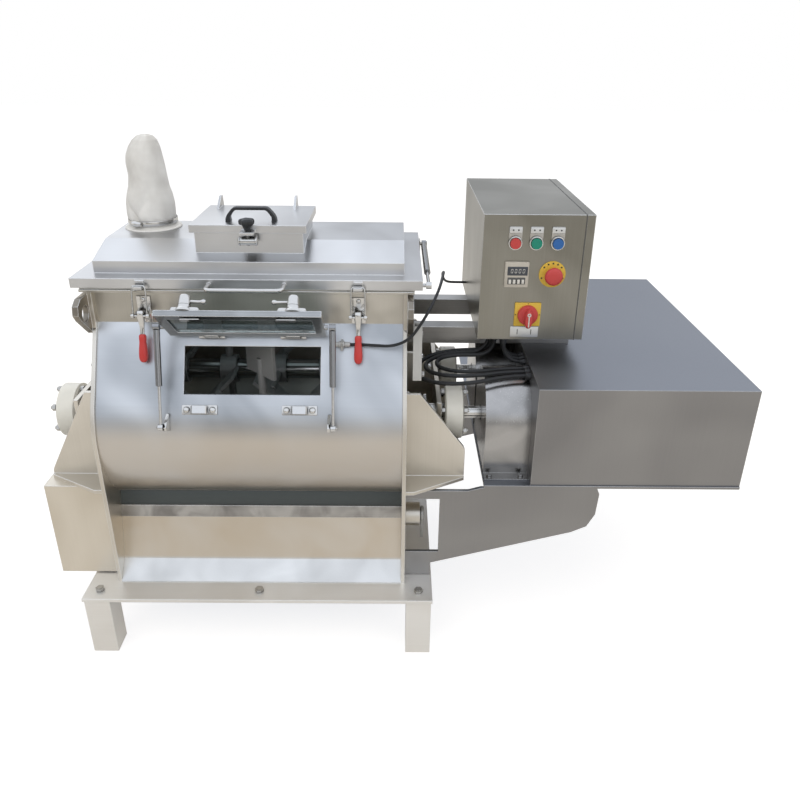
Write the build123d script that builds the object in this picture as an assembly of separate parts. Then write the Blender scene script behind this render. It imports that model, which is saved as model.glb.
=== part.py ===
"""Double shaft paddle mixer for dry food powders, as an assembly of separate pieces.

Millimetres, +Z up, X along the two rotor shafts, Y from the operator's side to the back.
The origin is on the floor, midway between the four legs and under the middle of the trough.
"""
from build123d import *
import math
import os

os.makedirs("parts", exist_ok=True)

# Trough and rotors
shaft_z = 490.0            # height of both rotor axes
shaft_gap = 240.0          # distance between the rotor axes
shell_r = 181.0            # outside radius of each half of the trough
shell_t = 4.0              # trough sheet
trough_half = 313.0        # half of the inside length
wall_lean = 29.0           # lean of the front and back walls from upright, degrees
mouth_half = 195.0         # half of the mouth's outside depth
mouth_h = 71.96            # upright part of the mouth, up to the rim
rim_flange = 14.0          # how far the rim turns outwards
rim_t = 5.0
blade_clear = 9.0          # blade tip to trough wall
rotor_r = 25.0             # rotor shaft inside the trough
journal_r = 20.0           # rotor shaft in glands and bearings
neck_r = 14.0              # rotor shaft between bearing and coupling
run_gap = 0.05             # radial running clearance
stations = 5               # paddle stations on each rotor
station_end = 63.0         # last paddle station to the end plate
blade_len = 78.0           # along the arm
blade_w = 100.0            # across the arm
blade_t = 8.0
blade_pitch = 45.0         # degrees from the shaft
arm_r = 9.0
hub_r = 36.0
hub_w = 40.0

# End plates, lifting ears and glands
plate_t = 8.0
plate_lip = 4.0            # end plate beyond the round of the trough
plate_over = 10.0          # end plate beyond the mouth, front and back
ear_t = 12.0
ear_bore = 16.5
ear_out = 31.0             # lifting eye beyond the mouth
ear_drop = 44.0            # lifting eye below the rim
gland_r = 38.0
gland_flange_r = 48.0
gland_len = 46.0

# Base
frame_over = 69.0          # base frame beyond the trough's inside, each end
frame_y = 366.0            # half depth of the base frame
frame_top = 151.0
frame_h = 50.0             # depth of the web along the frame's inner edge
frame_t = 8.0
frame_flange = 80.0        # width of the flange at the front and back
frame_end = 70.0           # and at both ends
leg_in = 3.0               # leg's outer faces in from the frame's edge
leg_w = 55.0
leg_wall = 4.0
leg_cap = 6.0
foot_hole = 6.5

# Discharge
skirt_out = 49.0           # lower bend of the skirt beyond the flap pivot
skirt_mid_z = 189.0
skirt_foot = 36.0          # skirt's foot beyond that bend
skirt_t = 4.0
flap_out = 102.0           # flap pivot outwards of its shaft
flap_drop = 28.0           # flap pivot below the trough
flap_shaft_r = 15.0
flap_boss_r = 26.5
flap_boss_len = 34.0
flap_t = 4.0
flap_gap = 0.4
mouth_out = 22.0           # discharge mouth, degrees from straight down to the pivot side
mouth_in = 30.0            # and to the middle
mouth_end = 13.0           # discharge mouth to the end plate
flap_lap = 4.0             # degrees that a flap overlaps its mouth

# Bearing brackets
bracket_len = 128.0
bracket_floor_z = 390.0
bracket_t = 8.0
gusset_y = 231.0
right_nose = 72.0          # height of the outer gusset edge, at the drive end
left_nose = 16.0           # and at the other end
bearing_out = 87.0         # end plate to the inner face of each bearing housing
bearing_w = 42.0
bearing_r = 60.0
stud_pitch_r = 50.0
studs_per_bearing = 6

# Drive
drive_side_y = 275.0       # outer faces of the side plates under the drive
deck_gap = 169.0           # end plate to the deck
cover_len = 452.0
deck_t = 6.0
cover_gap = 100.0          # deck's edge to the cover
cover_back_y = 513.0
cover_top = 617.0
cover_t = 2.5
guard_in = 2.0             # deck's edge to the guards
guard_r = 106.0
coupling_in = 13.0         # guard's end to the coupling
coupling_len = 75.0

# Control box and its rails
rail_w = 40.0
rail_front_y = 4.0         # centre lines of the two rails
rail_back_y = 206.0
rail_end_x = 700.0
ctrl_x0 = 478.0
ctrl_x1 = 710.0
ctrl_door_t = 18.0
ctrl_y0 = -93.0
ctrl_y1 = 345.0
ctrl_z1 = 932.0
sheet = 2.0
button_r = 11.0
button_bezel_r = 15.0
button_travel = 4.0

# Lid, hatch and vent
lid_over_x = 16.0          # lid beyond the ends of the rim
lid_over_y = 12.0          # lid beyond the mouth, front and back
gasket_t = 3.0
lid_lip = 20.0
lid_t = 3.0
roof_in_x = 37.0           # raised roof in from the lid's ends
roof_in_y = 38.0           # and from its front and back
roof_skirt = 25.0          # upright part of the raised roof
roof_rise = 50.0
roof_flat_y0 = -80.0
roof_flat_y1 = 90.0
hinge_out = 22.5           # lid hinge beyond the mouth
hinge_r = 9.0
hinge_pin_r = 5.0
collar_x0 = -112.0
collar_x1 = 108.0
collar_y0 = -135.0
collar_y1 = 47.0
collar_rise = 39.5         # hatch collar above the roof
hatch_rim = 8.0            # hatch cover beyond its collar
hatch_t = 3.5              # hatch top above the collar
hatch_lip = 16.0
hinge_in_hatch = 13.0      # hatch hinge below the hatch top
screw_out = 20.0           # hatch screw in front of the collar
screw_r = 4.0
vent_x = -244.0
vent_y = 30.0
vent_r = 50.0

# Window
win_x0 = -133.5
win_x1 = 144.5
win_drop = 42.5            # window's top below the bend of the wall
win_h = 87.0
door_drop = 26.0           # door hinge below the bend of the wall
door_off = 10.0            # hinge axis off the wall
door_half = 158.0
door_len = 126.0
door_frame = 20.0
door_t = 12.0
door_open = 39.0           # resting lean above level, degrees
strut_x = 173.0
strut_drop = 155.04        # strut's foot below the door hinge
strut_off = 22.2           # and off the trough
strut_pin_at = 53.0        # strut stud from the door hinge, along the door
keeper_at = 139.5          # keepers from the door hinge, along the wall
keeper_h = 20.0

# Values worked out from the sizes above
half_gap = shaft_gap / 2
lean = math.radians(wall_lean)
plate_out = trough_half + plate_t
plate_r = shell_r + plate_lip
plate_half = mouth_half + plate_over
touch_y = half_gap + shell_r * math.cos(lean)      # where a wall meets its round
touch_z = shaft_z + shell_r * math.sin(lean)
bend_z = touch_z + (touch_y - mouth_half) / math.tan(lean)
rim_z = bend_z + mouth_h
station_pitch = 2 * (trough_half - station_end) / (stations - 1)
mouth_x = trough_half - mouth_end
ear_y = mouth_half + ear_out
ear_z = rim_z - ear_drop
frame_x = trough_half + frame_over
skirt_top_z = shaft_z - 0.713 * shell_r
flap_y = half_gap + flap_out
skirt_top_y = flap_y + 6.6
skirt_mid_y = flap_y + skirt_out
skirt_foot_y = skirt_mid_y + skirt_foot
flap_z = shaft_z - shell_r - flap_drop
bearing_x = plate_out + bearing_out
deck_x0 = plate_out + deck_gap
cover_x0 = deck_x0 + cover_gap
deck_x1 = cover_x0 + cover_len
guard_x0 = deck_x0 + guard_in
coupling_x0 = guard_x0 + coupling_in
coupling_x1 = coupling_x0 + coupling_len
lid_x = plate_out + rim_flange + lid_over_x
lid_y = mouth_half + lid_over_y
roof_x = lid_x - roof_in_x
roof_y = lid_y - roof_in_y
hinge_y = mouth_half + hinge_out
win_high = bend_z - win_drop
win_low = win_high - win_h
door_hinge_z = bend_z - door_drop
strut_foot_z = door_hinge_z - strut_drop
blade_tip = shell_r - shell_t - blade_clear
lid_z0 = rim_z + gasket_t
lid_z1 = lid_z0 + lid_lip
roof_top = lid_z1 + roof_rise
collar_top = roof_top + collar_rise
hatch_top = collar_top + hatch_t
hatch_hinge_z = hatch_top - hinge_in_hatch
screw_y = collar_y0 - screw_out
hinge_z = lid_z0 + gasket_t
ctrl_z0 = cover_top + rail_w
deck_top = bracket_floor_z


def block(x0, x1, y0, y1, z0, z1):
    """A box between two corners."""
    return Pos((x0 + x1) / 2, (y0 + y1) / 2, (z0 + z1) / 2) * Box(x1 - x0, y1 - y0, z1 - z0)


def rod_x(x0, x1, y, z, r):
    """A round bar along X."""
    return Pos((x0 + x1) / 2, y, z) * Rot(0, 90, 0) * Cylinder(r, x1 - x0)


def rod_y(y0, y1, x, z, r):
    """A round bar along Y."""
    return Pos(x, (y0 + y1) / 2, z) * Rot(90, 0, 0) * Cylinder(r, y1 - y0)


def rod_z(z0, z1, x, y, r):
    """A round bar along Z."""
    return Pos(x, y, (z0 + z1) / 2) * Cylinder(r, z1 - z0)


def face_of(points):
    """A flat face from its corner points."""
    return make_face(Polyline(*points, close=True))


def slab_x(face, x0, x1):
    """A YZ outline carried from x0 to x1."""
    return extrude(Plane.YZ.offset(x0) * face, amount=x1 - x0)


def slab_y(face, y0, y1):
    """An XZ outline carried from y0 to y1."""
    plane = Plane(origin=(0, y1, 0), x_dir=(1, 0, 0), z_dir=(0, -1, 0))
    return extrude(plane * face, amount=y1 - y0)


def slab_z(face, z0, z1):
    """An XY outline carried from z0 to z1."""
    return extrude(Plane.XY.offset(z0) * face, amount=z1 - z0)


def turned_x(profile, y, z):
    """A solid turned about a line along X; the profile holds (x, radius) points."""
    face = face_of(profile)
    return Pos(0, y, z) * revolve(face, axis=Axis.X)


def hex_x(x0, x1, y, z, across):
    """A hexagon bar along X, for nuts and bolt heads."""
    return slab_x(Pos(y, z) * RegularPolygon(across / 2, 6, major_radius=False), x0, x1)


def hex_z(z0, z1, x, y, across):
    """A hexagon bar along Z."""
    return slab_z(Pos(x, y) * RegularPolygon(across / 2, 6, major_radius=False), z0, z1)


def flip_x(solid):
    """The same piece on the other end of the machine."""
    return mirror(solid, about=Plane.YZ)


def flip_y(solid):
    """The same piece on the other side of the machine."""
    return mirror(solid, about=Plane.XZ)


def about_x(solid, y, z, degrees):
    """Turns a piece about a line along X."""
    return solid.rotate(Axis((0, y, z), (1, 0, 0)), degrees)


def save(name, *pieces):
    """Writes one sub-part, made of one or more solids."""
    solids = []
    for piece in pieces:
        solids.extend(piece.solids())
    shape = solids[0] if len(solids) == 1 else Compound(children=solids)
    export_step(shape, f"parts/{name}.step")


def body_outline(r, half, top):
    """Section of the trough: two rounds, leaning walls that touch them, and an upright mouth."""
    at_y = half_gap + r * math.cos(lean)
    at_z = shaft_z + r * math.sin(lean)
    bend = at_z + (at_y - half) / math.tan(lean)
    upper = face_of([
        (-at_y, at_z), (-half, bend), (-half, top), (half, top), (half, bend),
        (at_y, at_z), (half_gap, shaft_z), (-half_gap, shaft_z),
    ])
    return upper + Pos(-half_gap, shaft_z) * Circle(r) + Pos(half_gap, shaft_z) * Circle(r)


def wall_y(z):
    """Outside of the leaning front wall at a height."""
    return -(touch_y - (z - touch_z) * math.tan(lean))


def front_y(z):
    """Outside of the trough's front at a height, on the leaning wall or on the round."""
    if z > touch_z:
        return wall_y(z)
    return -(half_gap + math.sqrt(shell_r ** 2 - (z - shaft_z) ** 2))


def under_shaft(r, degrees):
    """A point about the front shaft, turned from straight down towards the middle."""
    angle = math.radians(degrees)
    return (-half_gap + r * math.sin(angle), shaft_z - r * math.cos(angle))


def make_trough():
    """W-shaped trough with its rim, window hole, discharge mouths and lid hinge ears."""
    outer = body_outline(shell_r, mouth_half, rim_z)
    inner = body_outline(shell_r - shell_t, mouth_half - shell_t, rim_z + 1)
    trough = slab_x(outer - inner, -trough_half, trough_half)
    trough -= block(win_x0, win_x1, -touch_y - 20, 0, win_low, win_high)
    mouth = face_of([
        under_shaft(shell_r - 41, -mouth_out), under_shaft(shell_r + 59, -mouth_out),
        under_shaft(shell_r + 59, mouth_in), under_shaft(shell_r - 41, mouth_in),
    ])
    cut = slab_x(mouth, -mouth_x, mouth_x)
    trough -= cut
    trough -= flip_y(cut)
    lip_x = trough_half + plate_t + rim_flange
    lip_y = mouth_half + rim_flange
    rim = block(-lip_x, lip_x, -lip_y, lip_y, rim_z - rim_t, rim_z)
    rim -= block(-trough_half, trough_half, -mouth_half, mouth_half, rim_z - 2 * rim_t, rim_z + 1)
    trough += rim
    for side in (-1, 1):
        for edge in (-18, 18):
            x = side * 220 + edge
            ear = slab_x(Pos(hinge_y, hinge_z) * Circle(hinge_r), x - 3, x + 3)
            foot = face_of([(mouth_half + 5, rim_z - rim_t), (hinge_y, rim_z - rim_t + 2),
                            (hinge_y, rim_z), (mouth_half + 5, rim_z)])
            trough += ear + slab_x(foot, x - 3, x + 3)
        trough += rod_x(side * 220 - 20, side * 220 + 20, hinge_y, hinge_z, hinge_pin_r)
    # bracket and ball stud that carry the lid strut
    stud_plate = block(lip_x - 4, lid_x + 3.5, 126, 150, rim_z - 14, rim_z - rim_t + 1)
    stud_plate += block(lid_x + 0.6, lid_x + 3.5, 126, 150, rim_z - 14, rim_z + 22)
    trough += stud_plate
    trough += rod_x(lid_x + 3, lid_x + 18, lid_strut_y0, lid_strut_z, 4)
    trough += rod_x(lid_x + 18, lid_x + 20, lid_strut_y0, lid_strut_z, 6)
    return trough


def make_end_plate():
    """Right end plate, with two lifting ears and the two flap shaft bosses."""
    outline = body_outline(plate_r, plate_half, rim_z - rim_t)
    outline += Pos(0, (frame_top + shaft_z) / 2) * Rectangle(
        2 * (half_gap + plate_r), shaft_z - frame_top)
    plate = slab_x(outline, trough_half, plate_out)
    ear = face_of([
        (-ear_y + 56, ear_z + 34), (-ear_y - 12, ear_z + 34), (-ear_y - 30, ear_z + 24),
        (-ear_y - 34, ear_z + 6), (-ear_y - 24, ear_z - 8), (-ear_y + 24, ear_z - 50),
        (-ear_y + 56, ear_z - 50),
    ])
    ear -= Pos(-ear_y, ear_z) * Circle(ear_bore)
    ear_solid = slab_x(ear, plate_out, plate_out + ear_t)
    boss = rod_x(plate_out, plate_out + flap_boss_len, -flap_y, flap_z, flap_boss_r)
    for side in (ear_solid, boss):
        plate += side
        plate += flip_y(side)
    for y in (-half_gap, half_gap):
        plate -= rod_x(plate_out - 20, plate_out + 20, y, shaft_z, rotor_r + 3)
    for y in (-flap_y, flap_y):
        plate -= rod_x(plate_out - 20, plate_out + 80, y, flap_z, flap_shaft_r + run_gap)
    return plate


def make_gland(y):
    """Shaft gland on the outside of the right end plate, with its follower ring."""
    x = plate_out
    bore = journal_r + run_gap
    return turned_x([
        (x, bore), (x, gland_flange_r), (x + 8, gland_flange_r), (x + 8, gland_r),
        (x + gland_len - 10, gland_r), (x + gland_len - 10, gland_r - 8),
        (x + gland_len - 6, gland_r - 8), (x + gland_len - 6, gland_r + 4),
        (x + gland_len, gland_r + 4), (x + gland_len, bore),
    ], y, shaft_z)


def make_bracket(nose):
    """Right bearing bracket: floor, three gussets and the plate that carries the bearings.

    The nose is the height of the gussets' outer edge; it differs between the two ends.
    """
    x0 = plate_out
    x1 = plate_out + bracket_len
    foot = half_gap + plate_r - 2
    floor = face_of([
        (x0, -foot), (x0 + 17, -foot), (x1, -gusset_y - 9), (x1, gusset_y + 9),
        (x0 + 17, foot), (x0, foot),
    ])
    bracket = slab_z(floor, bracket_floor_z - bracket_t, bracket_floor_z)
    side = face_of([
        (x0, bracket_floor_z), (x0, shaft_z + 97), (x0 + 29, shaft_z + 97),
        (x1 - 3, bracket_floor_z + nose), (x1, bracket_floor_z + nose - 8),
        (x1, bracket_floor_z),
    ])
    for y in (-gusset_y, 0, gusset_y):
        bracket += slab_y(side, y - bracket_t / 2, y + bracket_t / 2)
    wide = half_gap + bearing_r + 10
    back = block(bearing_x - 20, bearing_x - 10, -wide, wide,
                 bracket_floor_z, shaft_z + bearing_r - 4)
    for y in (-half_gap, half_gap):
        back -= rod_x(bearing_x - 30, bearing_x, y, shaft_z, journal_r + 8)
    return bracket + back


def stud_places():
    """Angles of the bearing studs."""
    for index in range(studs_per_bearing):
        angle = 2 * math.pi * (index + 0.5) / studs_per_bearing
        yield stud_pitch_r * math.cos(angle), stud_pitch_r * math.sin(angle)


def make_bearing(y, blind):
    """Right bearing housing; the left ones are blind and mirrored."""
    x0 = bearing_x
    x1 = bearing_x + bearing_w
    ring = turned_x([
        (x0, 0), (x0, bearing_r - 6), (x0 + 3, bearing_r), (x1 - 3, bearing_r),
        (x1, bearing_r - 6), (x1, 0),
    ], y, shaft_z)
    depth = x1 - 7 if blind else x1 + 1
    ring -= rod_x(x0 - 1, depth, y, shaft_z, journal_r + run_gap)
    for dy, dz in stud_places():
        ring -= rod_x(x0 - 1, x1 + 1, y + dy, shaft_z + dz, 4.3)
    return ring


def make_studs():
    """Bearing studs with their nuts, and the bolts that hold the base frame to the legs."""
    pieces = []
    x0 = bearing_x
    x1 = bearing_x + bearing_w
    for y in (-half_gap, half_gap):
        for dy, dz in stud_places():
            stud = rod_x(x0 - 10, x1 + 11, y + dy, shaft_z + dz, 4)
            stud += hex_x(x0 - 7.5, x0, y + dy, shaft_z + dz, 13)
            stud += hex_x(x1, x1 + 7.5, y + dy, shaft_z + dz, 13)
            pieces.append(stud)
            pieces.append(flip_x(stud))
    leg_x = frame_x - leg_in - leg_w / 2
    leg_y = frame_y - leg_in - leg_w / 2
    for x in (-leg_x, 0, leg_x):
        for y in (-leg_y, leg_y):
            bolt = hex_z(frame_top, frame_top + 7, x, y, 17)
            bolt += rod_z(frame_top + 7, frame_top + 7.8, x, y, 6)
            pieces.append(bolt)
    return pieces


def make_base_frame():
    """Welded frame: flat flange all round and a web down from its inner edge."""
    in_x = frame_x - frame_end
    in_y = frame_y - frame_flange
    frame = block(-frame_x, frame_x, -frame_y, frame_y, frame_top - frame_t, frame_top)
    frame += block(-in_x - frame_t, in_x + frame_t, -in_y - frame_t, in_y + frame_t,
                   frame_top - frame_h, frame_top - 1)
    return frame - block(-in_x, in_x, -in_y, in_y, 0, frame_top + 1)


def make_legs():
    """Four square tubes with a capped foot that has a bolt hole."""
    x1 = frame_x - leg_in
    x0 = x1 - leg_w
    y1 = frame_y - leg_in
    y0 = y1 - leg_w
    leg = block(x0, x1, y0, y1, 0, frame_top - frame_t)
    leg -= block(x0 + leg_wall, x1 - leg_wall, y0 + leg_wall, y1 - leg_wall,
                 leg_cap, frame_top)
    leg -= rod_z(-1, leg_cap + 1, (x0 + x1) / 2, (y0 + y1) / 2, foot_hole)
    pair = [leg, flip_x(leg)]
    return pair + [flip_y(piece) for piece in pair]


def make_skirt():
    """Front skirt under the trough, leaning out to a sloped foot on the base frame."""
    shift = skirt_t * 0.98
    skirt = face_of([
        (-skirt_top_y + 4, skirt_top_z), (-skirt_mid_y, skirt_mid_z),
        (-skirt_foot_y, frame_top + 2),
        (-skirt_foot_y, frame_top), (-skirt_foot_y + 1.5 * skirt_t, frame_top),
        (-skirt_mid_y + shift, skirt_mid_z - 2), (-skirt_top_y + 4 + shift, skirt_top_z),
    ])
    skirt -= Pos(-half_gap, shaft_z) * Circle(shell_r + 0.1)
    return slab_x(skirt, -trough_half, trough_half)


def make_flap():
    """Front discharge flap: curved plate, arms, shaft and the position lever on its end."""
    r0 = shell_r + flap_gap
    r1 = r0 + flap_t
    start = -mouth_out - flap_lap
    stop = mouth_in + flap_lap
    sector = face_of([(-half_gap, shaft_z), under_shaft(2 * shell_r, start),
                      under_shaft(2 * shell_r, stop)])
    curve = Pos(-half_gap, shaft_z) * Circle(r1) - Pos(-half_gap, shaft_z) * Circle(r0)
    flap = slab_x(curve & sector, -mouth_x - 6, mouth_x + 6)
    arm = face_of([
        (-flap_y - 4, flap_z + 16), under_shaft(r1 - 2, start + 2), under_shaft(r1 - 2, stop - 8),
        under_shaft(r1 + 18, stop - 22), (-flap_y + 8, flap_z - 16),
    ])
    arm += Pos(-flap_y, flap_z) * Circle(flap_shaft_r + 3)
    arm -= Pos(-half_gap, shaft_z) * Circle(r1 - 1.5)
    for x in (-250, -84, 84, 250):
        flap += slab_x(arm, x - 4, x + 4)
    end_x = plate_out + flap_boss_len
    flap += rod_x(-end_x - 52, end_x + 9, -flap_y, flap_z, flap_shaft_r)
    lever = face_of([
        (-flap_y - 18, flap_z), (-flap_y - 4, flap_z - 62), (-flap_y + 14, flap_z - 62),
        (-flap_y + 18, flap_z),
    ]) + Pos(-flap_y, flap_z) * Circle(18)
    flap += slab_x(lever, end_x + 2, end_x + 8)
    return flap


def make_actuators():
    """Rotary actuators on the left ends of the flap shafts."""
    x1 = -plate_out - flap_boss_len - 1
    x0 = x1 - 70
    unit = block(x0, x1, -flap_y - 26, -flap_y + 26, flap_z - 55, flap_z + 55)
    unit += block(x0 + 10, x1 - 10, -flap_y - 30, -flap_y + 44, flap_z - 22, flap_z + 22)
    unit -= rod_x(x1 - 53, x1 + 1, -flap_y, flap_z, flap_shaft_r + run_gap)
    return [unit, flip_y(unit)]


def make_actuator_cover():
    """Box over the actuators on the left end plate, open towards the plate."""
    x0 = -plate_out - 136
    x1 = -plate_out
    y = drive_side_y
    z0 = frame_top + 3
    z1 = bracket_floor_z - bracket_t
    cover = block(x0, x1, -y, y, z0, z1)
    cover -= block(x0 + sheet, x1 + 1, -y + sheet, y - sheet, z0 + sheet, z1 - sheet)
    return cover


def make_drive_support():
    """Two side plates from the right end plate and the deck that they carry."""
    x0 = plate_out
    top = deck_top - deck_t
    side = face_of([
        (x0, top - 8), (x0 + bracket_len + 8, top - 8), (deck_x0 - 6, top),
        (deck_x0 + 245, top), (deck_x0 + 251, top - 14), (deck_x0 + 248, top - 66),
        (deck_x0 + 232, top - 98), (deck_x0 + 199, top - 114), (frame_x - 3, frame_top + 33),
        (frame_x - 3, frame_top + 1), (x0, frame_top + 1),
    ])
    side -= Pos(x0 + 38, 285) * Rectangle(74, 140)
    support = slab_y(side, -drive_side_y, -drive_side_y + 8)
    support += slab_y(side, drive_side_y - 8, drive_side_y)
    deck = block(deck_x0, deck_x1, -drive_side_y, cover_back_y, top, deck_top)
    return support + deck


def make_drive_cover():
    """Sheet cover over gearbox, reducer and motor, open below."""
    y0 = -drive_side_y + 3
    cover = block(cover_x0, deck_x1, y0, cover_back_y, deck_top, cover_top)
    cover -= block(cover_x0 + cover_t, deck_x1 - cover_t, y0 + cover_t, cover_back_y - cover_t,
                   deck_top - 1, cover_top - cover_t)
    for y in (-half_gap, half_gap):
        cover -= rod_x(cover_x0 - 5, cover_x0 + 10, y, shaft_z, 24)
    return cover


def make_guard():
    """Front coupling guard: rounded sheet with a closed end and a screwed foot."""
    x1 = cover_x0
    outer = Pos(-half_gap, shaft_z) * Circle(guard_r)
    outer += Pos(-half_gap, (shaft_z + deck_top) / 2) * Rectangle(
        2 * guard_r, shaft_z - deck_top)
    outer &= Pos(-half_gap, deck_top + 200) * Rectangle(400, 400)
    inner = Pos(-half_gap, shaft_z) * Circle(guard_r - cover_t)
    inner += Pos(-half_gap, (shaft_z + deck_top) / 2) * Rectangle(
        2 * (guard_r - cover_t), shaft_z - deck_top)
    guard = slab_x(outer, guard_x0, x1) - slab_x(inner, guard_x0 + cover_t, x1 + 1)
    guard -= rod_x(guard_x0 - 5, guard_x0 + 10, -half_gap, shaft_z, neck_r + 4)
    front = -half_gap - guard_r
    guard += block(guard_x0, x1, front - 27, front + 1, deck_top, deck_top + 3)
    for x in (guard_x0 + 12, guard_x0 + 80):
        guard += hex_z(deck_top + 3, deck_top + 8, x, front - 15, 10)
    return guard


def make_drive_unit():
    """Gearbox case, right-angle reducer and motor; all three are closed castings."""
    x0 = cover_x0 + 14
    case = block(x0, x0 + 86, -half_gap - 58, half_gap + 58, deck_top + 35, shaft_z + 65)
    case += block(x0 - 8, x0 + 94, -half_gap - 45, half_gap + 45, deck_top, deck_top + 35)
    for y in (-half_gap, half_gap):
        case += rod_x(x0 - 10, x0, y, shaft_z, 34)
        case -= rod_x(x0 - 14, coupling_x1 + 60, y, shaft_z, 16 + run_gap)
    x1 = x0 + 96
    reducer = block(x1, x1 + 150, -half_gap - 80, -half_gap + 80, deck_top + 30, shaft_z + 80)
    reducer += rod_x(x1 - 10, x1, -half_gap, shaft_z, 60)
    reducer += block(x1 + 10, x1 + 140, -half_gap - 70, -half_gap + 70, deck_top, deck_top + 30)
    mid = x1 + 75
    y0 = -half_gap + 80
    body = rod_y(y0, y0 + 340, mid, shaft_z, 70)
    for index in range(5):
        y = y0 + 60 + index * 55
        body += rod_y(y, y + 12, mid, shaft_z, 76)
    body += rod_y(y0 + 340, y0 + 412, mid, shaft_z, 78)
    body += block(mid - 40, mid + 40, y0 + 80, y0 + 240, deck_top, shaft_z - 50)
    body += block(mid - 50, mid + 15, y0 + 130, y0 + 230, shaft_z + 60, shaft_z + 96)
    return [case, reducer, body]


def make_rotor_shaft(y):
    """Stepped rotor shaft from the blind left bearing to the coupling."""
    left = -bearing_x - bearing_w + 8
    out = plate_out - 3
    right = bearing_x + bearing_w + 2
    return turned_x([
        (left, 0), (left, journal_r), (-out, journal_r), (-out, rotor_r), (out, rotor_r),
        (out, journal_r), (right, journal_r), (right, neck_r), (coupling_x0 + 32, neck_r),
        (coupling_x0 + 32, 0),
    ], y, shaft_z)


def make_paddle(x, y, degrees):
    """One paddle station: clamping hub, two arms and two pitched blades."""
    hub = rod_x(-hub_w / 2, hub_w / 2, 0, 0, hub_r)
    blade = Pos(0, 0, blade_tip - blade_len / 2) * Rot(0, 0, blade_pitch) * Box(
        blade_t, blade_w, blade_len)
    arm = rod_z(hub_r - 4, blade_tip - blade_len / 2, 0, 0, arm_r)
    side = arm + blade
    station = hub + side + side.rotate(Axis.X, 180)
    station -= rod_x(-hub_w, hub_w, 0, 0, rotor_r + run_gap)
    return Pos(x, y, shaft_z) * station.rotate(Axis.X, degrees)


def make_paddles(y, phase):
    """The stations of one rotor, each a quarter turn on from the one before."""
    first = -station_pitch * (stations - 1) / 2
    return [
        make_paddle(first + station_pitch * index, y, phase + 90 * (index % 2))
        for index in range(stations)
    ]


def make_coupling(y):
    """Flanged coupling with the gearbox's output stub."""
    x0 = coupling_x0
    x1 = coupling_x1
    mid = (x0 + x1) / 2
    coupling = turned_x([
        (x0, 0), (x0, 30), (mid - 16, 30), (mid - 16, 55), (mid - 2, 55), (mid - 2, 50),
        (mid + 2, 50), (mid + 2, 55), (mid + 16, 55), (mid + 16, 30), (x1, 30), (x1, 16),
        (x1 + 50, 16), (x1 + 50, 0),
    ], y, shaft_z)
    coupling -= rod_x(x0 - 1, x0 + 33, y, shaft_z, neck_r + run_gap)
    return coupling


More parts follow.
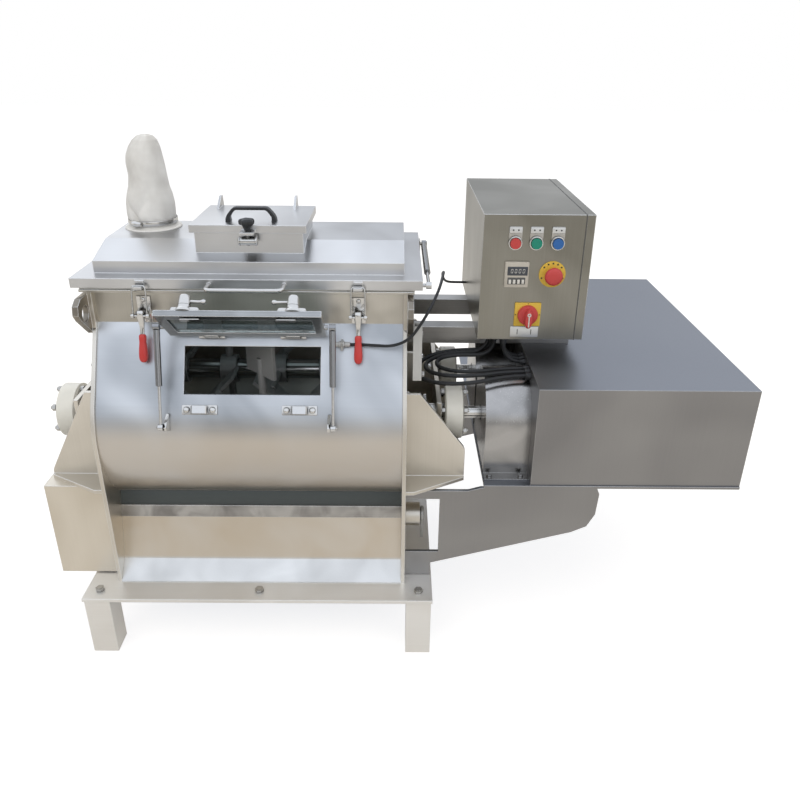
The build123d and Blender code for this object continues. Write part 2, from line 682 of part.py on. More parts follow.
def make_lid():
    """Lid: edge channel, raised roof, hatch collar, hinge ears and fittings' seats."""
    rim = block(-lid_x, lid_x, -lid_y, lid_y, lid_z0, lid_z1)
    rim -= block(-lid_x + lid_t, lid_x - lid_t, -lid_y + lid_t, lid_y - lid_t,
                 lid_z0 + lid_t, lid_z1 - lid_t)
    rim -= block(-trough_half, trough_half, -lid_y + 22, lid_y - 22, lid_z0 - 1, lid_z0 + lid_t + 1)
    roof = [
        (-roof_y, lid_z1 - lid_t), (-roof_y, lid_z1 + roof_skirt), (roof_flat_y0, roof_top),
        (roof_flat_y1, roof_top), (roof_y, lid_z1 + roof_skirt), (roof_y, lid_z1 - lid_t),
    ]
    lid = rim + slab_x(face_of(roof), -roof_x, roof_x)
    lid += block(collar_x0, collar_x1, collar_y0, collar_y1, lid_z1 + 5, collar_top)
    hollow = [
        (-roof_y + lid_t, lid_z0 + lid_t), (-roof_y + lid_t, lid_z1 + roof_skirt - 2),
        (roof_flat_y0 + 1, roof_top - lid_t), (roof_flat_y1 - 1, roof_top - lid_t),
        (roof_y - lid_t, lid_z1 + roof_skirt - 2), (roof_y - lid_t, lid_z0 + lid_t),
    ]
    lid -= slab_x(face_of(hollow), -roof_x + lid_t, roof_x - lid_t)
    lid -= block(collar_x0 + lid_t, collar_x1 - lid_t, collar_y0 + lid_t, collar_y1 - lid_t,
                 lid_z1, collar_top + 1)
    lid -= rod_z(roof_top - 20, roof_top + 20, vent_x, vent_y, vent_r - 6)
    for side in (-220, 220):
        ear = slab_x(Pos(hinge_y, hinge_z) * Circle(hinge_r), side - 14.5, side + 14.5)
        web = face_of([(lid_y - 1, lid_z0 + 4), (lid_y - 1, lid_z1 - 3), (hinge_y, hinge_z + 8),
                       (hinge_y, hinge_z - 6)])
        lid += ear + slab_x(web, side - 14.5, side + 14.5)
        lid -= rod_x(side - 30, side + 30, hinge_y, hinge_z, hinge_pin_r + 0.1)
    # catches for the two toggle latches
    for x in latch_x:
        lid += block(x - 9, x + 9, -catch_y, -lid_y + 1, catch_z - 3, catch_z)
        lid += block(x - 9, x + 9, -catch_y, -catch_y + 3, catch_z - 3, catch_z + 3)
        lid += block(x - 9, x + 9, -lid_y - 2.5, -lid_y + 1, catch_z - 3, catch_z + 11)
    # stud for the strut, on the right edge
    lid += rod_x(lid_x - 1, lid_x + 6, lid_strut_y1, lid_strut_z, 4)
    # seat of the hatch screw on the front of the collar
    seat_z = hatch_top - 29
    seat = rod_x(-15, 15, screw_y, seat_z, 8)
    for x in (-12, 12):
        seat += block(x - 2.5, x + 2.5, screw_y - 2, collar_y0 + 1, seat_z - 7, seat_z + 7)
    seat -= rod_z(seat_z - 10, seat_z + 10, 0, screw_y, screw_r + 1.3)
    lid += seat
    # hatch hinge ears at the back of the collar
    for x in hatch_hinge_x:
        for edge in (-8, 8):
            lid += slab_x(Pos(hatch_hinge_y, hatch_hinge_z) * Circle(6), x + edge - 2, x + edge + 2)
            web = face_of([(collar_y1 - 1, roof_top - 1), (hatch_hinge_y + 5, roof_top - 1),
                           (hatch_hinge_y + 5, hatch_hinge_z), (hatch_hinge_y - 5, hatch_hinge_z),
                           (hatch_hinge_y - 7, hatch_top - hatch_lip - 2),
                           (collar_y1 - 1, hatch_top - hatch_lip - 2)])
            lid += slab_x(web, x + edge - 2, x + edge + 2)
        lid += rod_x(x - 10, x + 10, hatch_hinge_y, hatch_hinge_z, 3)
    return lid


def make_gasket():
    """Flat gasket that the lid presses on the trough rim."""
    outer = 2 * (trough_half + plate_t + rim_flange)
    gasket = block(-outer / 2, outer / 2, -lid_y + 3, lid_y - 3, rim_z + 0.3, lid_z0)
    return gasket - block(-trough_half, trough_half, -lid_y + 22, lid_y - 22, rim_z, lid_z0 + 1)


def make_lid_handle():
    """Bent round bar on the lid's front edge."""
    reach = lid_y + 38
    z = lid_z0 + 9
    path = FilletPolyline((-75, -lid_y, z), (-75, -reach, z), (75, -reach, z), (75, -lid_y, z),
                          radius=12)
    return sweep(Plane(origin=(-75, -lid_y, z), z_dir=(0, -1, 0)) * Circle(4.5), path=path)


def make_hatch():
    """Hatch cover over its collar, with the screw lug and the hinge arms."""
    x0 = collar_x0 - hatch_rim
    x1 = collar_x1 + hatch_rim
    y0 = collar_y0 - hatch_rim
    y1 = collar_y1 + hatch_rim
    z0 = hatch_top - hatch_lip
    cover = block(x0, x1, y0, y1, z0, hatch_top)
    cover -= block(x0 + lid_t, x1 - lid_t, y0 + lid_t, y1 - lid_t, z0 - 1, hatch_top - lid_t)
    lug = block(-14, 14, screw_y - 13, y0 + 1, z0 + 1, z0 + 7)
    lug -= rod_z(z0 - 5, z0 + 12, 0, screw_y, screw_r + 0.4)
    cover += lug
    for x in hatch_hinge_x:
        arm = slab_x(Pos(hatch_hinge_y, hatch_hinge_z) * Circle(6), x - 5.5, x + 5.5)
        fin = face_of([(y1 - 46, hatch_top - 1), (y1 - 10, hatch_top + 22), (y1 + 4, hatch_top + 22),
                       (hatch_hinge_y + 6, hatch_hinge_z), (hatch_hinge_y, hatch_hinge_z - 5),
                       (y1 - 1, hatch_top - 2)])
        arm += slab_x(fin, x - 2.5, x + 2.5)
        arm -= rod_x(x - 8, x + 8, hatch_hinge_y, hatch_hinge_z, 3.1)
        cover += arm
    return cover


def make_hatch_handle():
    """Bridge handle on the hatch cover."""
    handle = face_of([
        (-53, hatch_top), (-53, hatch_top + 9), (-42, hatch_top + 26), (-33, hatch_top + 31),
        (33, hatch_top + 31), (42, hatch_top + 26), (53, hatch_top + 9), (53, hatch_top),
        (41, hatch_top), (38, hatch_top + 9), (30, hatch_top + 21), (-30, hatch_top + 21),
        (-38, hatch_top + 9), (-41, hatch_top),
    ])
    return slab_y(handle, -112, -92)


def make_hatch_knob():
    """Star knob with its screw, which turns in the hatch lug."""
    z0 = hatch_top - hatch_lip + 7.3
    knob = rod_z(z0, z0 + 10, 0, screw_y, 9)
    star = Circle(11)
    for index in range(5):
        angle = 2 * math.pi * index / 5
        star += Pos(9 * math.cos(angle), 9 * math.sin(angle)) * Circle(6)
    knob += slab_z(Pos(0, screw_y) * star, z0 + 10, z0 + 26)
    return knob + rod_z(hatch_top - 38, z0 + 1, 0, screw_y, screw_r)


def make_vent_collar():
    """Vent spigot on the lid roof, with its base ring and the worm clamp."""
    ring = rod_z(roof_top, roof_top + 6, vent_x, vent_y, vent_r + 7)
    ring += rod_z(roof_top, roof_top + 34, vent_x, vent_y, vent_r - 4)
    ring -= rod_z(roof_top - 1, roof_top + 40, vent_x, vent_y, vent_r - 6)
    clamp = rod_z(roof_top + 10, roof_top + 22, vent_x, vent_y, vent_r + 2)
    clamp -= rod_z(roof_top, roof_top + 30, vent_x, vent_y, vent_r + 0.5)
    clamp += block(vent_x - 11, vent_x + 11, vent_y - vent_r - 9, vent_y - vent_r - 1.2,
                   roof_top + 10, roof_top + 22)
    return [ring, clamp]


def make_vent_bag():
    """Filter sock over the spigot, leaning to the left; a closed sleeve."""
    rings = [
        (vent_x, vent_r - 3.6, roof_top + 6.3), (vent_x, vent_r - 0.2, roof_top + 8),
        (vent_x, vent_r - 0.2, roof_top + 30), (vent_x - 5, vent_r - 2, roof_top + 60),
        (vent_x - 14, vent_r, roof_top + 110), (vent_x - 10, vent_r - 6, roof_top + 150),
        (vent_x - 4, vent_r - 22, roof_top + 190),
    ]
    faces = [Pos(x, vent_y, z) * Circle(r) for x, r, z in rings]
    bag = loft(faces, ruled=True)
    return bag - rod_z(roof_top - 1, roof_top + 34.5, vent_x, vent_y, vent_r - 3.6)


def make_lid_strut():
    """Gas strut of the lid: tube on the trough stud, rod towards the lid stud."""
    x = lid_x + 12
    y0 = lid_strut_y0
    y1 = lid_strut_y1
    z = lid_strut_z
    tube = rod_y(y1 + 92, y0 - 12, x, z, 7)
    tube += rod_x(x - 5.5, x + 5.5, y0, z, 8)
    tube += block(x - 4, x + 4, y0 - 16, y0 - 4, z - 5, z + 5)
    tube -= rod_x(x - 8, x + 8, y0, z, 4.1)
    tube -= rod_y(y1 + 90, y0 - 60, x, z, 3.6)
    rod = rod_y(y1 + 5, y1 + 240, x, z, 3.5)
    rod += rod_x(x - 5.5, x + 5.5, y1, z, 7)
    return tube, rod


def door_place(solid):
    """Carries a piece drawn on the closed window door to the door's open rest."""
    return about_x(solid, door_axis_y, door_axis_z, -(door_open + 90 - wall_lean))


def on_wall(along, off):
    """A point on the closed door: distance down the wall from the hinge, distance off it."""
    y = door_axis_y - along * math.sin(lean) - (off - door_off) * math.cos(lean)
    z = door_axis_z - along * math.cos(lean) + (off - door_off) * math.sin(lean)
    return y, z


def wall_slab(x0, x1, a0, a1, off0, off1):
    """A flat box that lies along the leaning wall, placed from the door hinge."""
    return slab_x(face_of([on_wall(a0, off0), on_wall(a1, off0), on_wall(a1, off1),
                           on_wall(a0, off1)]), x0, x1)


def make_window_door():
    """Window door: frame, glass, hinge knuckles, strut studs and latch bodies."""
    frame = wall_slab(-door_half, door_half, 8, door_len, 8, 8 + door_t)
    frame -= wall_slab(-door_half + door_frame, door_half - door_frame, 8 + door_frame,
                       door_len - door_frame, 0, 30)
    for x in (-75, 90):
        frame += wall_slab(x - 14, x + 14, 0, 10, door_off - 3, door_off + 3)
        frame += rod_x(x - 14, x + 14, door_axis_y, door_axis_z, 5)
        frame -= rod_x(x - 16, x + 16, door_axis_y, door_axis_z, 2.6)
    pin_y, pin_z = on_wall(strut_pin_at, 12)
    for side in (-1, 1):
        ends = sorted((side * (door_half - 1), side * (door_half + 6)))
        frame += rod_x(ends[0], ends[1], pin_y, pin_z, 5)
    for x in (-103, 103):
        y0, z0 = on_wall(door_len - 11, 8 + door_t - 1)
        y1, z1 = on_wall(door_len - 11, 8 + door_t + 12)
        boss = Cylinder(8, 13)
        boss = Pos(x, (y0 + y1) / 2, (z0 + z1) / 2) * Rot(90 - wall_lean, 0, 0) * boss
        frame += boss
        y1, z1 = on_wall(door_len - 11, 0)
        y2, z2 = on_wall(door_len - 11, 60)
        hole = Pos(x, (y1 + y2) / 2, (z1 + z2) / 2) * Rot(90 - wall_lean, 0, 0) * Cylinder(4.1, 60)
        frame -= hole
    glass = wall_slab(-door_half + door_frame + 0.2, door_half - door_frame - 0.2,
                      8.2 + door_frame, door_len - door_frame - 0.2, 11, 16)
    return door_place(frame), door_place(glass)


def make_window_latch(x, side):
    """Turning latch of the window door: grip, spindle and tongue."""
    at = door_len - 11

    def along(off0, off1, r):
        y0, z0 = on_wall(at, off0)
        y1, z1 = on_wall(at, off1)
        bar = Cylinder(r, off1 - off0)
        return Pos(x, (y0 + y1) / 2, (z0 + z1) / 2) * Rot(90 - wall_lean, 0, 0) * bar

    latch = along(3, 44, 4)
    latch += along(8 + door_t + 12.4, 44, 7)
    ends = sorted((x - side * 12, x + side * 34))
    latch += wall_slab(ends[0], ends[1], at - 5, at + 5, 40, 50)
    ends = sorted((x - side * 7, x + side * 32))
    latch += wall_slab(ends[0], ends[1], at - 6, at + 6, 3.2, 6.2)
    return door_place(latch)


def make_window_struts():
    """Gas struts of the window door: rods on the trough, tubes up to the door."""
    foot = (-strut_foot_y, strut_foot_z)
    top_y, top_z = on_wall(strut_pin_at, 12)
    turn = -math.radians(door_open + 90 - wall_lean)
    dy = top_y - door_axis_y
    dz = top_z - door_axis_z
    top = (door_axis_y + dy * math.cos(turn) - dz * math.sin(turn),
           door_axis_z + dy * math.sin(turn) + dz * math.cos(turn))
    length = math.hypot(top[0] - foot[0], top[1] - foot[1])
    tilt = math.degrees(math.atan2(top[0] - foot[0], top[1] - foot[1]))
    tubes = []
    rods = []
    for x in (-strut_x, strut_x):
        tube = rod_z(length - 118, length - 6, x, 0, 6.5)
        tube += rod_x(x - 6.5, x + 6.5, 0, length, 7)
        tube -= rod_z(length - 119, length - 16, x, 0, 3.1)
        rod = rod_z(5, length - 92, x, 0, 3)
        rod += rod_x(x - 5, x + 5, 0, 0, 7)
        rod -= rod_x(x - 8, x + 8, 0, 0, 3.1)
        for piece, bag in ((tube, tubes), (rod, rods)):
            piece = Pos(0, foot[0], foot[1]) * piece.rotate(Axis.X, -tilt)
            bag.append(piece)
    return tubes, rods, top, length, tilt


def make_trough_fittings():
    """Keepers, strut feet, door hinge butts and toggle latch bases on the front wall."""
    pieces = []
    for x in (-100, 103):
        low = keeper_at + keeper_h
        keeper = wall_slab(x - 36, x - 19, keeper_at, low, 0.2, 3)
        keeper += wall_slab(x + 19, x + 36, keeper_at, low, 0.2, 3)
        keeper += wall_slab(x - 22, x + 22, keeper_at, low, 9, 12)
        keeper += wall_slab(x - 22, x - 19, keeper_at, low, 0.2, 12)
        keeper += wall_slab(x + 19, x + 22, keeper_at, low, 0.2, 12)
        pieces.append(keeper)
    for side in (-1, 1):
        ends = sorted((side * (strut_x - 6), side * (strut_x - 12)))
        foot = face_of([(-strut_foot_y + 24, strut_foot_z + 19), (-strut_foot_y + 3, strut_foot_z + 8),
                        (-strut_foot_y - 6, strut_foot_z + 2), (-strut_foot_y - 5, strut_foot_z - 6),
                        (-strut_foot_y + 24, strut_foot_z - 19)])
        foot -= body_outline(shell_r + 0.1, mouth_half + 0.1, rim_z)
        piece = slab_x(foot, ends[0], ends[1])
        ends = sorted((side * (strut_x - 7), side * (strut_x + 8)))
        piece += rod_x(ends[0], ends[1], -strut_foot_y, strut_foot_z, 3)
        pieces.append(piece)
    for x in (-75, 90):
        butt = rod_x(x - 26, x - 14.4, door_axis_y, door_axis_z, 5)
        butt += rod_x(x + 14.4, x + 26, door_axis_y, door_axis_z, 5)
        butt += wall_slab(x - 26, x - 14.4, -12, 4, 0.2, door_off)
        butt += wall_slab(x + 14.4, x + 26, -12, 4, 0.2, door_off)
        butt += rod_x(x - 20, x + 20, door_axis_y, door_axis_z, 2.5)
        pieces.append(butt)
    for x in latch_x:
        base = block(x - 14, x + 14, -mouth_half - 3.1, -mouth_half - 0.1, latch_pivot_z - 23,
                     latch_pivot_z + 31)
        for edge in (-9.5, 9.5):
            base += block(x + edge - 1.5, x + edge + 1.5, latch_pivot_y, -mouth_half - 1,
                          latch_pivot_z - 6, latch_pivot_z + 6)
            base += slab_x(Pos(latch_pivot_y, latch_pivot_z) * Circle(6), x + edge - 1.5,
                           x + edge + 1.5)
        base += rod_x(x - 10, x + 10, latch_pivot_y, latch_pivot_z, 2.5)
        pieces.append(base)
    return pieces


def make_latch(x):
    """Toggle latch: lever with its grip, and the loop that reaches up to the catch."""
    py = latch_pivot_y
    pz = latch_pivot_z
    qy = py - latch_crank
    end_y = py - 27
    end_z = pz - 95
    side = Pos(py, pz) * Circle(6.5) + Pos(qy, pz) * Circle(5.5)
    side += face_of([(py, pz + 6), (qy, pz + 5), (qy - 5, pz), (end_y - 4, end_z + 1),
                     (end_y + 1, end_z), (py + 6, pz - 4)])
    lever = slab_x(side, x - 7.5, x + 7.5)
    lever -= slab_x(face_of([(py + 20, pz - 12), (py + 5, pz - 12), (end_y + 8, end_z + 12),
                             (end_y + 8, end_z - 30), (py + 20, end_z - 30)]), x - 10, x + 10)
    lever -= rod_x(x - 20, x + 20, py, pz, 2.6)
    lever += rod_x(x - 15.5, x + 15.5, qy, pz, 2)
    arm = Vector(0, end_y - py, end_z - pz).normalized()
    grip_box = Box(17, 12, 58)
    cut = Box(15.2, 6, 70)
    tilt = math.degrees(math.atan2(arm.Y, -arm.Z))
    place = Pos(x, py + arm.Y * 74 - 2.5, pz + arm.Z * 74) * Rot(tilt, 0, 0)
    lever = lever & (Pos(x, py, pz) * Box(40, 80, 100) + place * Box(15, 5.6, 62))
    lever = lever.solids().sort_by(SortBy.VOLUME)[-1]
    grip = place * (fillet(grip_box.edges(), 2.5) - cut)
    loop_top = catch_z + 2.7
    bar_y = -catch_y + 8
    loop = None
    for edge in (-11.5, 11.5):
        leg = rod_between((x + edge, qy, pz), (x + edge, bar_y, loop_top), 1.8)
        leg += rod_x(x + edge - 2.1, x + edge + 2.1, qy, pz, 4.6)
        leg -= rod_x(x - 20, x + 20, qy, pz, 2.1)
        loop = leg if loop is None else loop + leg
    loop += rod_x(x - 14, x + 14, bar_y, loop_top, 2.4)
    return [lever, grip], loop


def rod_between(start, stop, r):
    """A round bar between two points."""
    a = Vector(*start)
    b = Vector(*stop)
    line = b - a
    return extrude(Plane(origin=a, z_dir=line.normalized()) * Circle(r), amount=line.length)


def make_control_box():
    """Control box body, open to the right for its door."""
    x1 = ctrl_x1 - ctrl_door_t - 1
    body = block(ctrl_x0, x1, ctrl_y0, ctrl_y1, ctrl_z0, ctrl_z1)
    body -= block(ctrl_x0 + sheet, x1 + 1, ctrl_y0 + sheet, ctrl_y1 - sheet,
                  ctrl_z0 + sheet, ctrl_z1 - sheet)
    for x in button_x:
        body -= rod_y(ctrl_y0 - 5, ctrl_y0 + 5, x, button_z, button_r + 0.2)
    body -= rod_y(ctrl_y0 - 5, ctrl_y0 + 5, stop_x, stop_z, button_r + 0.2)
    body -= rod_y(ctrl_y0 - 5, ctrl_y0 + 5, isolator_x, isolator_z, 5.1)
    for z in (ctrl_z0 + 45, ctrl_z1 - 45):
        body += rod_z(z - 14, z - 5, x1 + 4, ctrl_y1 + 5, 5)
        body += rod_z(z - 14, z + 14, x1 + 4, ctrl_y1 + 5, 2.5)
        body += block(x1 - 14, x1 - 1, ctrl_y1 - 1, ctrl_y1 + 3, z - 14, z - 5)
        body += block(x1 - 2, x1 + 4, ctrl_y1 + 0.4, ctrl_y1 + 3, z - 14, z - 5)
    return body


def make_control_door():
    """Pan door on the right of the control box, on two pin hinges at its back edge."""
    x0 = ctrl_x1 - ctrl_door_t
    door = block(x0, ctrl_x1, ctrl_y0, ctrl_y1, ctrl_z0 + 0.5, ctrl_z1)
    door -= block(x0 - 1, ctrl_x1 - sheet, ctrl_y0 + sheet, ctrl_y1 - sheet,
                  ctrl_z0 + 0.5 + sheet, ctrl_z1 - sheet)
    pin_x = x0 - 1 + 4
    for z in (ctrl_z0 + 45, ctrl_z1 - 45):
        door += rod_z(z - 4.7, z + 14, pin_x, ctrl_y1 + 5, 5)
        door += block(pin_x - 1, pin_x + 10, ctrl_y1 - 1, ctrl_y1 + 4, z - 4.7, z + 14)
        door -= rod_z(z - 15, z + 14.5, pin_x, ctrl_y1 + 5, 2.6)
    return door


def make_panel_fittings():
    """Label plates, bezels, stop ring, isolator plate and the timer on the panel."""
    y1 = ctrl_y0 - 0.1
    pieces = []
    for x in button_x:
        pieces.append(block(x - 15, x + 15, y1 - 1.5, y1, 890, 905))
        bezel = rod_y(y1 - 6, y1, x, button_z, button_bezel_r)
        pieces.append(bezel - rod_y(y1 - 8, y1 + 1, x, button_z, button_r + 0.2))
    ring = rod_y(y1 - 5, y1, stop_x, stop_z, 30)
    pieces.append(ring - rod_y(y1 - 8, y1 + 1, stop_x, stop_z, button_r + 0.2))
    plate = block(isolator_x - 30, isolator_x + 30, y1 - 4, y1, isolator_z - 30, isolator_z + 30)
    pieces.append(plate - rod_y(y1 - 8, y1 + 1, isolator_x, isolator_z, 5.1))
    pieces.append(block(541, 603, y1 - 1.5, y1, 660, 683))
    timer = block(timer_x - 27, timer_x + 27, y1 - 7, y1, timer_z - 27, timer_z + 27)
    timer += block(timer_x - 23, timer_x + 23, y1 - 9, y1 - 6, timer_z - 23, timer_z + 23)
    pieces.append(timer)
    return pieces


def make_button(x):
    """Push button with its stem."""
    y1 = ctrl_y0 - 6.1
    button = rod_y(y1 - 5.5, y1 + 9, x, button_z, button_r)
    return button


def make_stop_button():
    """Mushroom head of the emergency stop, with its stem."""
    y = ctrl_y0 - 5.1
    stem = rod_y(y - 12, y + 12, stop_x, stop_z, button_r)
    head = rod_y(y - 24, y - 11, stop_x, stop_z, 19.5)
    return stem + head


def make_isolator():
    """Isolator handle: dial, lever and spindle."""
    y = ctrl_y0 - 4.6
    dial = rod_y(y - 10, y, isolator_x, isolator_z, 22)
    dial += rod_y(y - 1, y + 16, isolator_x, isolator_z, 5)
    lever = block(isolator_x - 8, isolator_x + 8, y - 26, y - 9, isolator_z - 24, isolator_z + 20)
    return dial + lever


def make_sensors():
    """Window proximity sensor on its bracket, and the lid interlock switch in its channel."""
    bracket = block(186, 190, sensor_y - 5, wall_y(sensor_z) + 4, sensor_z - 12, sensor_z + 6)
    bracket -= slab_x(body_outline(shell_r + 0.2, mouth_half + 0.2, rim_z), 180, 195)
    bracket += rod_x(172, 205, sensor_y, sensor_z, 5)
    bracket += hex_x(183, 186, sensor_y, sensor_z, 13)
    bracket += hex_x(190, 193, sensor_y, sensor_z, 13)
    x = plate_out + ear_t
    y = -ear_y
    top = ear_z - ear_bore - 1.5
    channel = block(x, x + 18, y - 12, y + 12, top - 118, top)
    channel -= block(x + 3, x + 19, y - 9, y + 9, top - 98, top + 1)
    channel += hex_x(x + 18, x + 24, y, top - 108, 10)
    switch = block(x + 3.1, x + 14, y - 8, y + 8, top - 93, top - 10)
    switch += hex_x(x + 14, x + 20, y, top - 20, 10)
    return [bracket, channel, switch]


def make_rails():
    """Two square tubes from the end plate over the drive cover, under the control box."""
    rails = []
    for y in (rail_front_y, rail_back_y):
        rail = block(plate_out, rail_end_x, y - rail_w / 2, y + rail_w / 2, cover_top, ctrl_z0)
        rail -= block(plate_out - 1, rail_end_x + 1, y - rail_w / 2 + 3, y + rail_w / 2 - 3,
                      cover_top + 3, ctrl_z0 - 3)
        rails.append(rail)
    return rails


def make_cord(name, points, diameter):
    """A cord along straight runs joined by large arcs; prints its tightest radius."""
    at = [Vector(*point) for point in points]
    runs = [(b - a).length for a, b in zip(at, at[1:])]
    radii = []
    for index in range(1, len(at) - 1):
        before = at[index] - at[index - 1]
        after = at[index + 1] - at[index]
        half_turn = math.radians(before.get_angle(after)) / 2
        shorter = min(runs[index - 1], runs[index])
        radii.append(0.45 * shorter / math.tan(half_turn))
    path = FilletPolyline(*at, radius=radii)
    tube = sweep(Plane(origin=at[0], z_dir=(at[1] - at[0]).normalized()) * Circle(diameter / 2),
                 path=path)
    section = math.pi * diameter ** 2 / 4
    print(f"{name}: length {path.length:.0f}, least radius {min(radii):.0f}, "
          f"volume {tube.volume / (section * path.length):.3f} of section times length")
    return tube


# Places shared by pieces that meet
strut_foot_y = strut_off - front_y(strut_foot_z)
latch_x = (-212.0, 222.0)
latch_pivot_y = -mouth_half - 22
latch_pivot_z = rim_z - 47
latch_crank = 12.0
catch_y = lid_y + 18
catch_z = lid_z0 + 6
lid_strut_y0 = 138.0
lid_strut_y1 = -200.0
lid_strut_z = lid_z0 + 9
hatch_hinge_y = collar_y1 + hatch_rim + 9
hatch_hinge_x = (-94.0, 73.0)
door_axis_y = wall_y(door_hinge_z) - door_off * math.cos(lean)
door_axis_z = door_hinge_z + door_off * math.sin(lean)
button_x = (546.0, 590.0, 635.0)
button_z = 873.0
stop_x = 630.0
stop_z = 806.0
isolator_x = 584.0
isolator_z = 717.0
timer_x = 552.0
timer_z = 806.0
cable_d = 9.0
sensor_cable_d = 6.0
gland_nut_r = 7.5
sensor_z = bend_z - 34
sensor_y = wall_y(sensor_z) - 11.1

# Routes of the cables, from the end that leaves the drive cover or the sensor
control_routes = [
    [(589.8, -150, 604), (545, -150, 604), (470, -176, 604), (400, -172, 602), (362, -130, 598),
     (368, -78, 597), (412, -44, 602), (458, -42, 604.8), (480, -42, 604.8), (499, -42, 615.8),
     (510, -42, 634.8), (510, -42, 656.8)],
    [(589.8, -132, 604), (545, -132, 604), (478, -152, 604), (424, -148, 602), (388, -118, 601),
     (392, -76, 602), (432, -58, 604.8), (492, -60, 604.8), (511, -60, 615.8),
     (522, -60, 634.8), (522, -60, 656.8)],
    [(589.8, -168, 602), (545, -168, 602), (470, -198, 598), (395, -194, 592), (346, -150, 588),
     (342, -90, 588), (372, -38, 594), (430, -25, 603), (496, -25, 604.8), (515, -25, 615.8),
     (526, -25, 634.8), (526, -25, 656.8)],
]
control_routes += [
    [(589.8, y, 600), (568, y, 600), (549, y, 611), (538, y, 630), (538, y, 656.8)]
    for y in (-84, -66, -48)
]
sensor_route = [
    (205.3, -225, 694), (224, -225, 694), (250, -228, 694), (292, -240, 696), (326, -251, 716),
    (348, -254, 750), (370, -240, 786), (386, -204, 812), (394, -146, 818), (400, -80, 806),
    (402, 0, 780), (408, 90, 746), (418, 170, 712), (432, 222, 692), (450, 234, 688),
    (477.8, 234, 688),
]


def make_cable_glands():
    """Gland nuts round both ends of each control cable."""
    glands = []
    for route in control_routes:
        _, y, z = route[0]
        nut = rod_x(cover_x0 - 12, cover_x0, y, z, gland_nut_r)
        nut += hex_x(cover_x0 - 7, cover_x0, y, z, 2 * gland_nut_r)
        glands.append(nut - rod_x(cover_x0 - 13, cover_x0 + 1, y, z, cable_d / 2 + 0.3))
        x, y, _ = route[-1]
        nut = rod_z(ctrl_z0 - 12, ctrl_z0, x, y, gland_nut_r)
        glands.append(nut - rod_z(ctrl_z0 - 13, ctrl_z0 + 1, x, y, cable_d / 2 + 0.3))
    return glands


save("base_frame", make_base_frame(), *make_legs())
right_plate = make_end_plate()
save("right_end_plate", right_plate)
save("left_end_plate", flip_x(right_plate))
save("trough", make_trough())
front_skirt = make_skirt()
save("discharge_skirts", front_skirt, flip_y(front_skirt))
save("bearing_brackets", make_bracket(right_nose), flip_x(make_bracket(left_nose)))
save("shaft_glands", *[piece for y in (-half_gap, half_gap)
                       for piece in (make_gland(y), flip_x(make_gland(y)))])
save("bearing_housings", *[piece for y in (-half_gap, half_gap)
                           for piece in (make_bearing(y, False), flip_x(make_bearing(y, True)))])
save("fasteners", *make_studs())
save("drive_support", make_drive_support())
save("drive_cover", make_drive_cover())
guard = make_guard()
save("coupling_guards", guard, flip_y(guard))
save("drive_unit", *make_drive_unit())
save("control_box_rails", *make_rails(), *make_cable_glands())
save("control_box", make_control_box())
save("control_box_door", make_control_door())
save("panel_fittings", *make_panel_fittings())
save("start_button", make_button(button_x[1]))
save("stop_button", make_button(button_x[0]))
save("discharge_button", make_button(button_x[2]))
save("emergency_stop", make_stop_button())
save("isolator_handle", make_isolator())
save("actuator_cover", make_actuator_cover())
save("flap_actuators", *make_actuators())
save("safety_sensors", *make_sensors())
save("trough_fittings", *make_trough_fittings())

for name, y, phase in (("front", -half_gap, 0), ("rear", half_gap, 90)):
    save(f"{name}_shaft", make_rotor_shaft(y))
    save(f"{name}_paddles", *make_paddles(y, phase))
    save(f"{name}_coupling", make_coupling(y))

front_flap = make_flap()
save("front_discharge_flap", front_flap)
save("rear_discharge_flap", flip_y(front_flap))

save("lid", make_lid(), make_lid_handle())
save("lid_gasket", make_gasket())
save("hatch_cover", make_hatch())
save("hatch_handle", make_hatch_handle())
save("hatch_knob", make_hatch_knob())
save("vent_collar", *make_vent_collar())
save("vent_bag", make_vent_bag())
strut_tube, strut_rod = make_lid_strut()
save("lid_strut_tube", strut_tube)
save("lid_strut_rod", strut_rod)

door_frame_solid, door_glass = make_window_door()
save("window_frame", door_frame_solid)
save("window_glass", door_glass)
save("window_latch_left", make_window_latch(-103, 1))
save("window_latch_right", make_window_latch(103, -1))
door_tubes, door_rods, strut_top, strut_length, strut_tilt = make_window_struts()
save("window_strut_tubes", *door_tubes)
save("window_strut_rods", *door_rods)
print(f"window strut: top {strut_top}, length {strut_length:.2f}, tilt {strut_tilt:.2f}, "
      f"door hinge {door_axis_y:.2f} {door_axis_z:.2f}")

for name, x in zip(("left", "right"), latch_x):
    lever_pieces, loop_piece = make_latch(x)
    save(f"{name}_latch_lever", *lever_pieces)
    save(f"{name}_latch_loop", loop_piece)

for index, route in enumerate(control_routes):
    save(f"control_cable_{index + 1}", make_cord(f"control cable {index + 1}", route, cable_d))
save("sensor_cable", make_cord("sensor cable", sensor_route, sensor_cable_d))
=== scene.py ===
"""Looks of a stainless double shaft paddle mixer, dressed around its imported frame."""
import logging
import math
from dataclasses import dataclass, field
from enum import Enum

import bmesh
import bpy
import numpy as np
from mathutils import Matrix


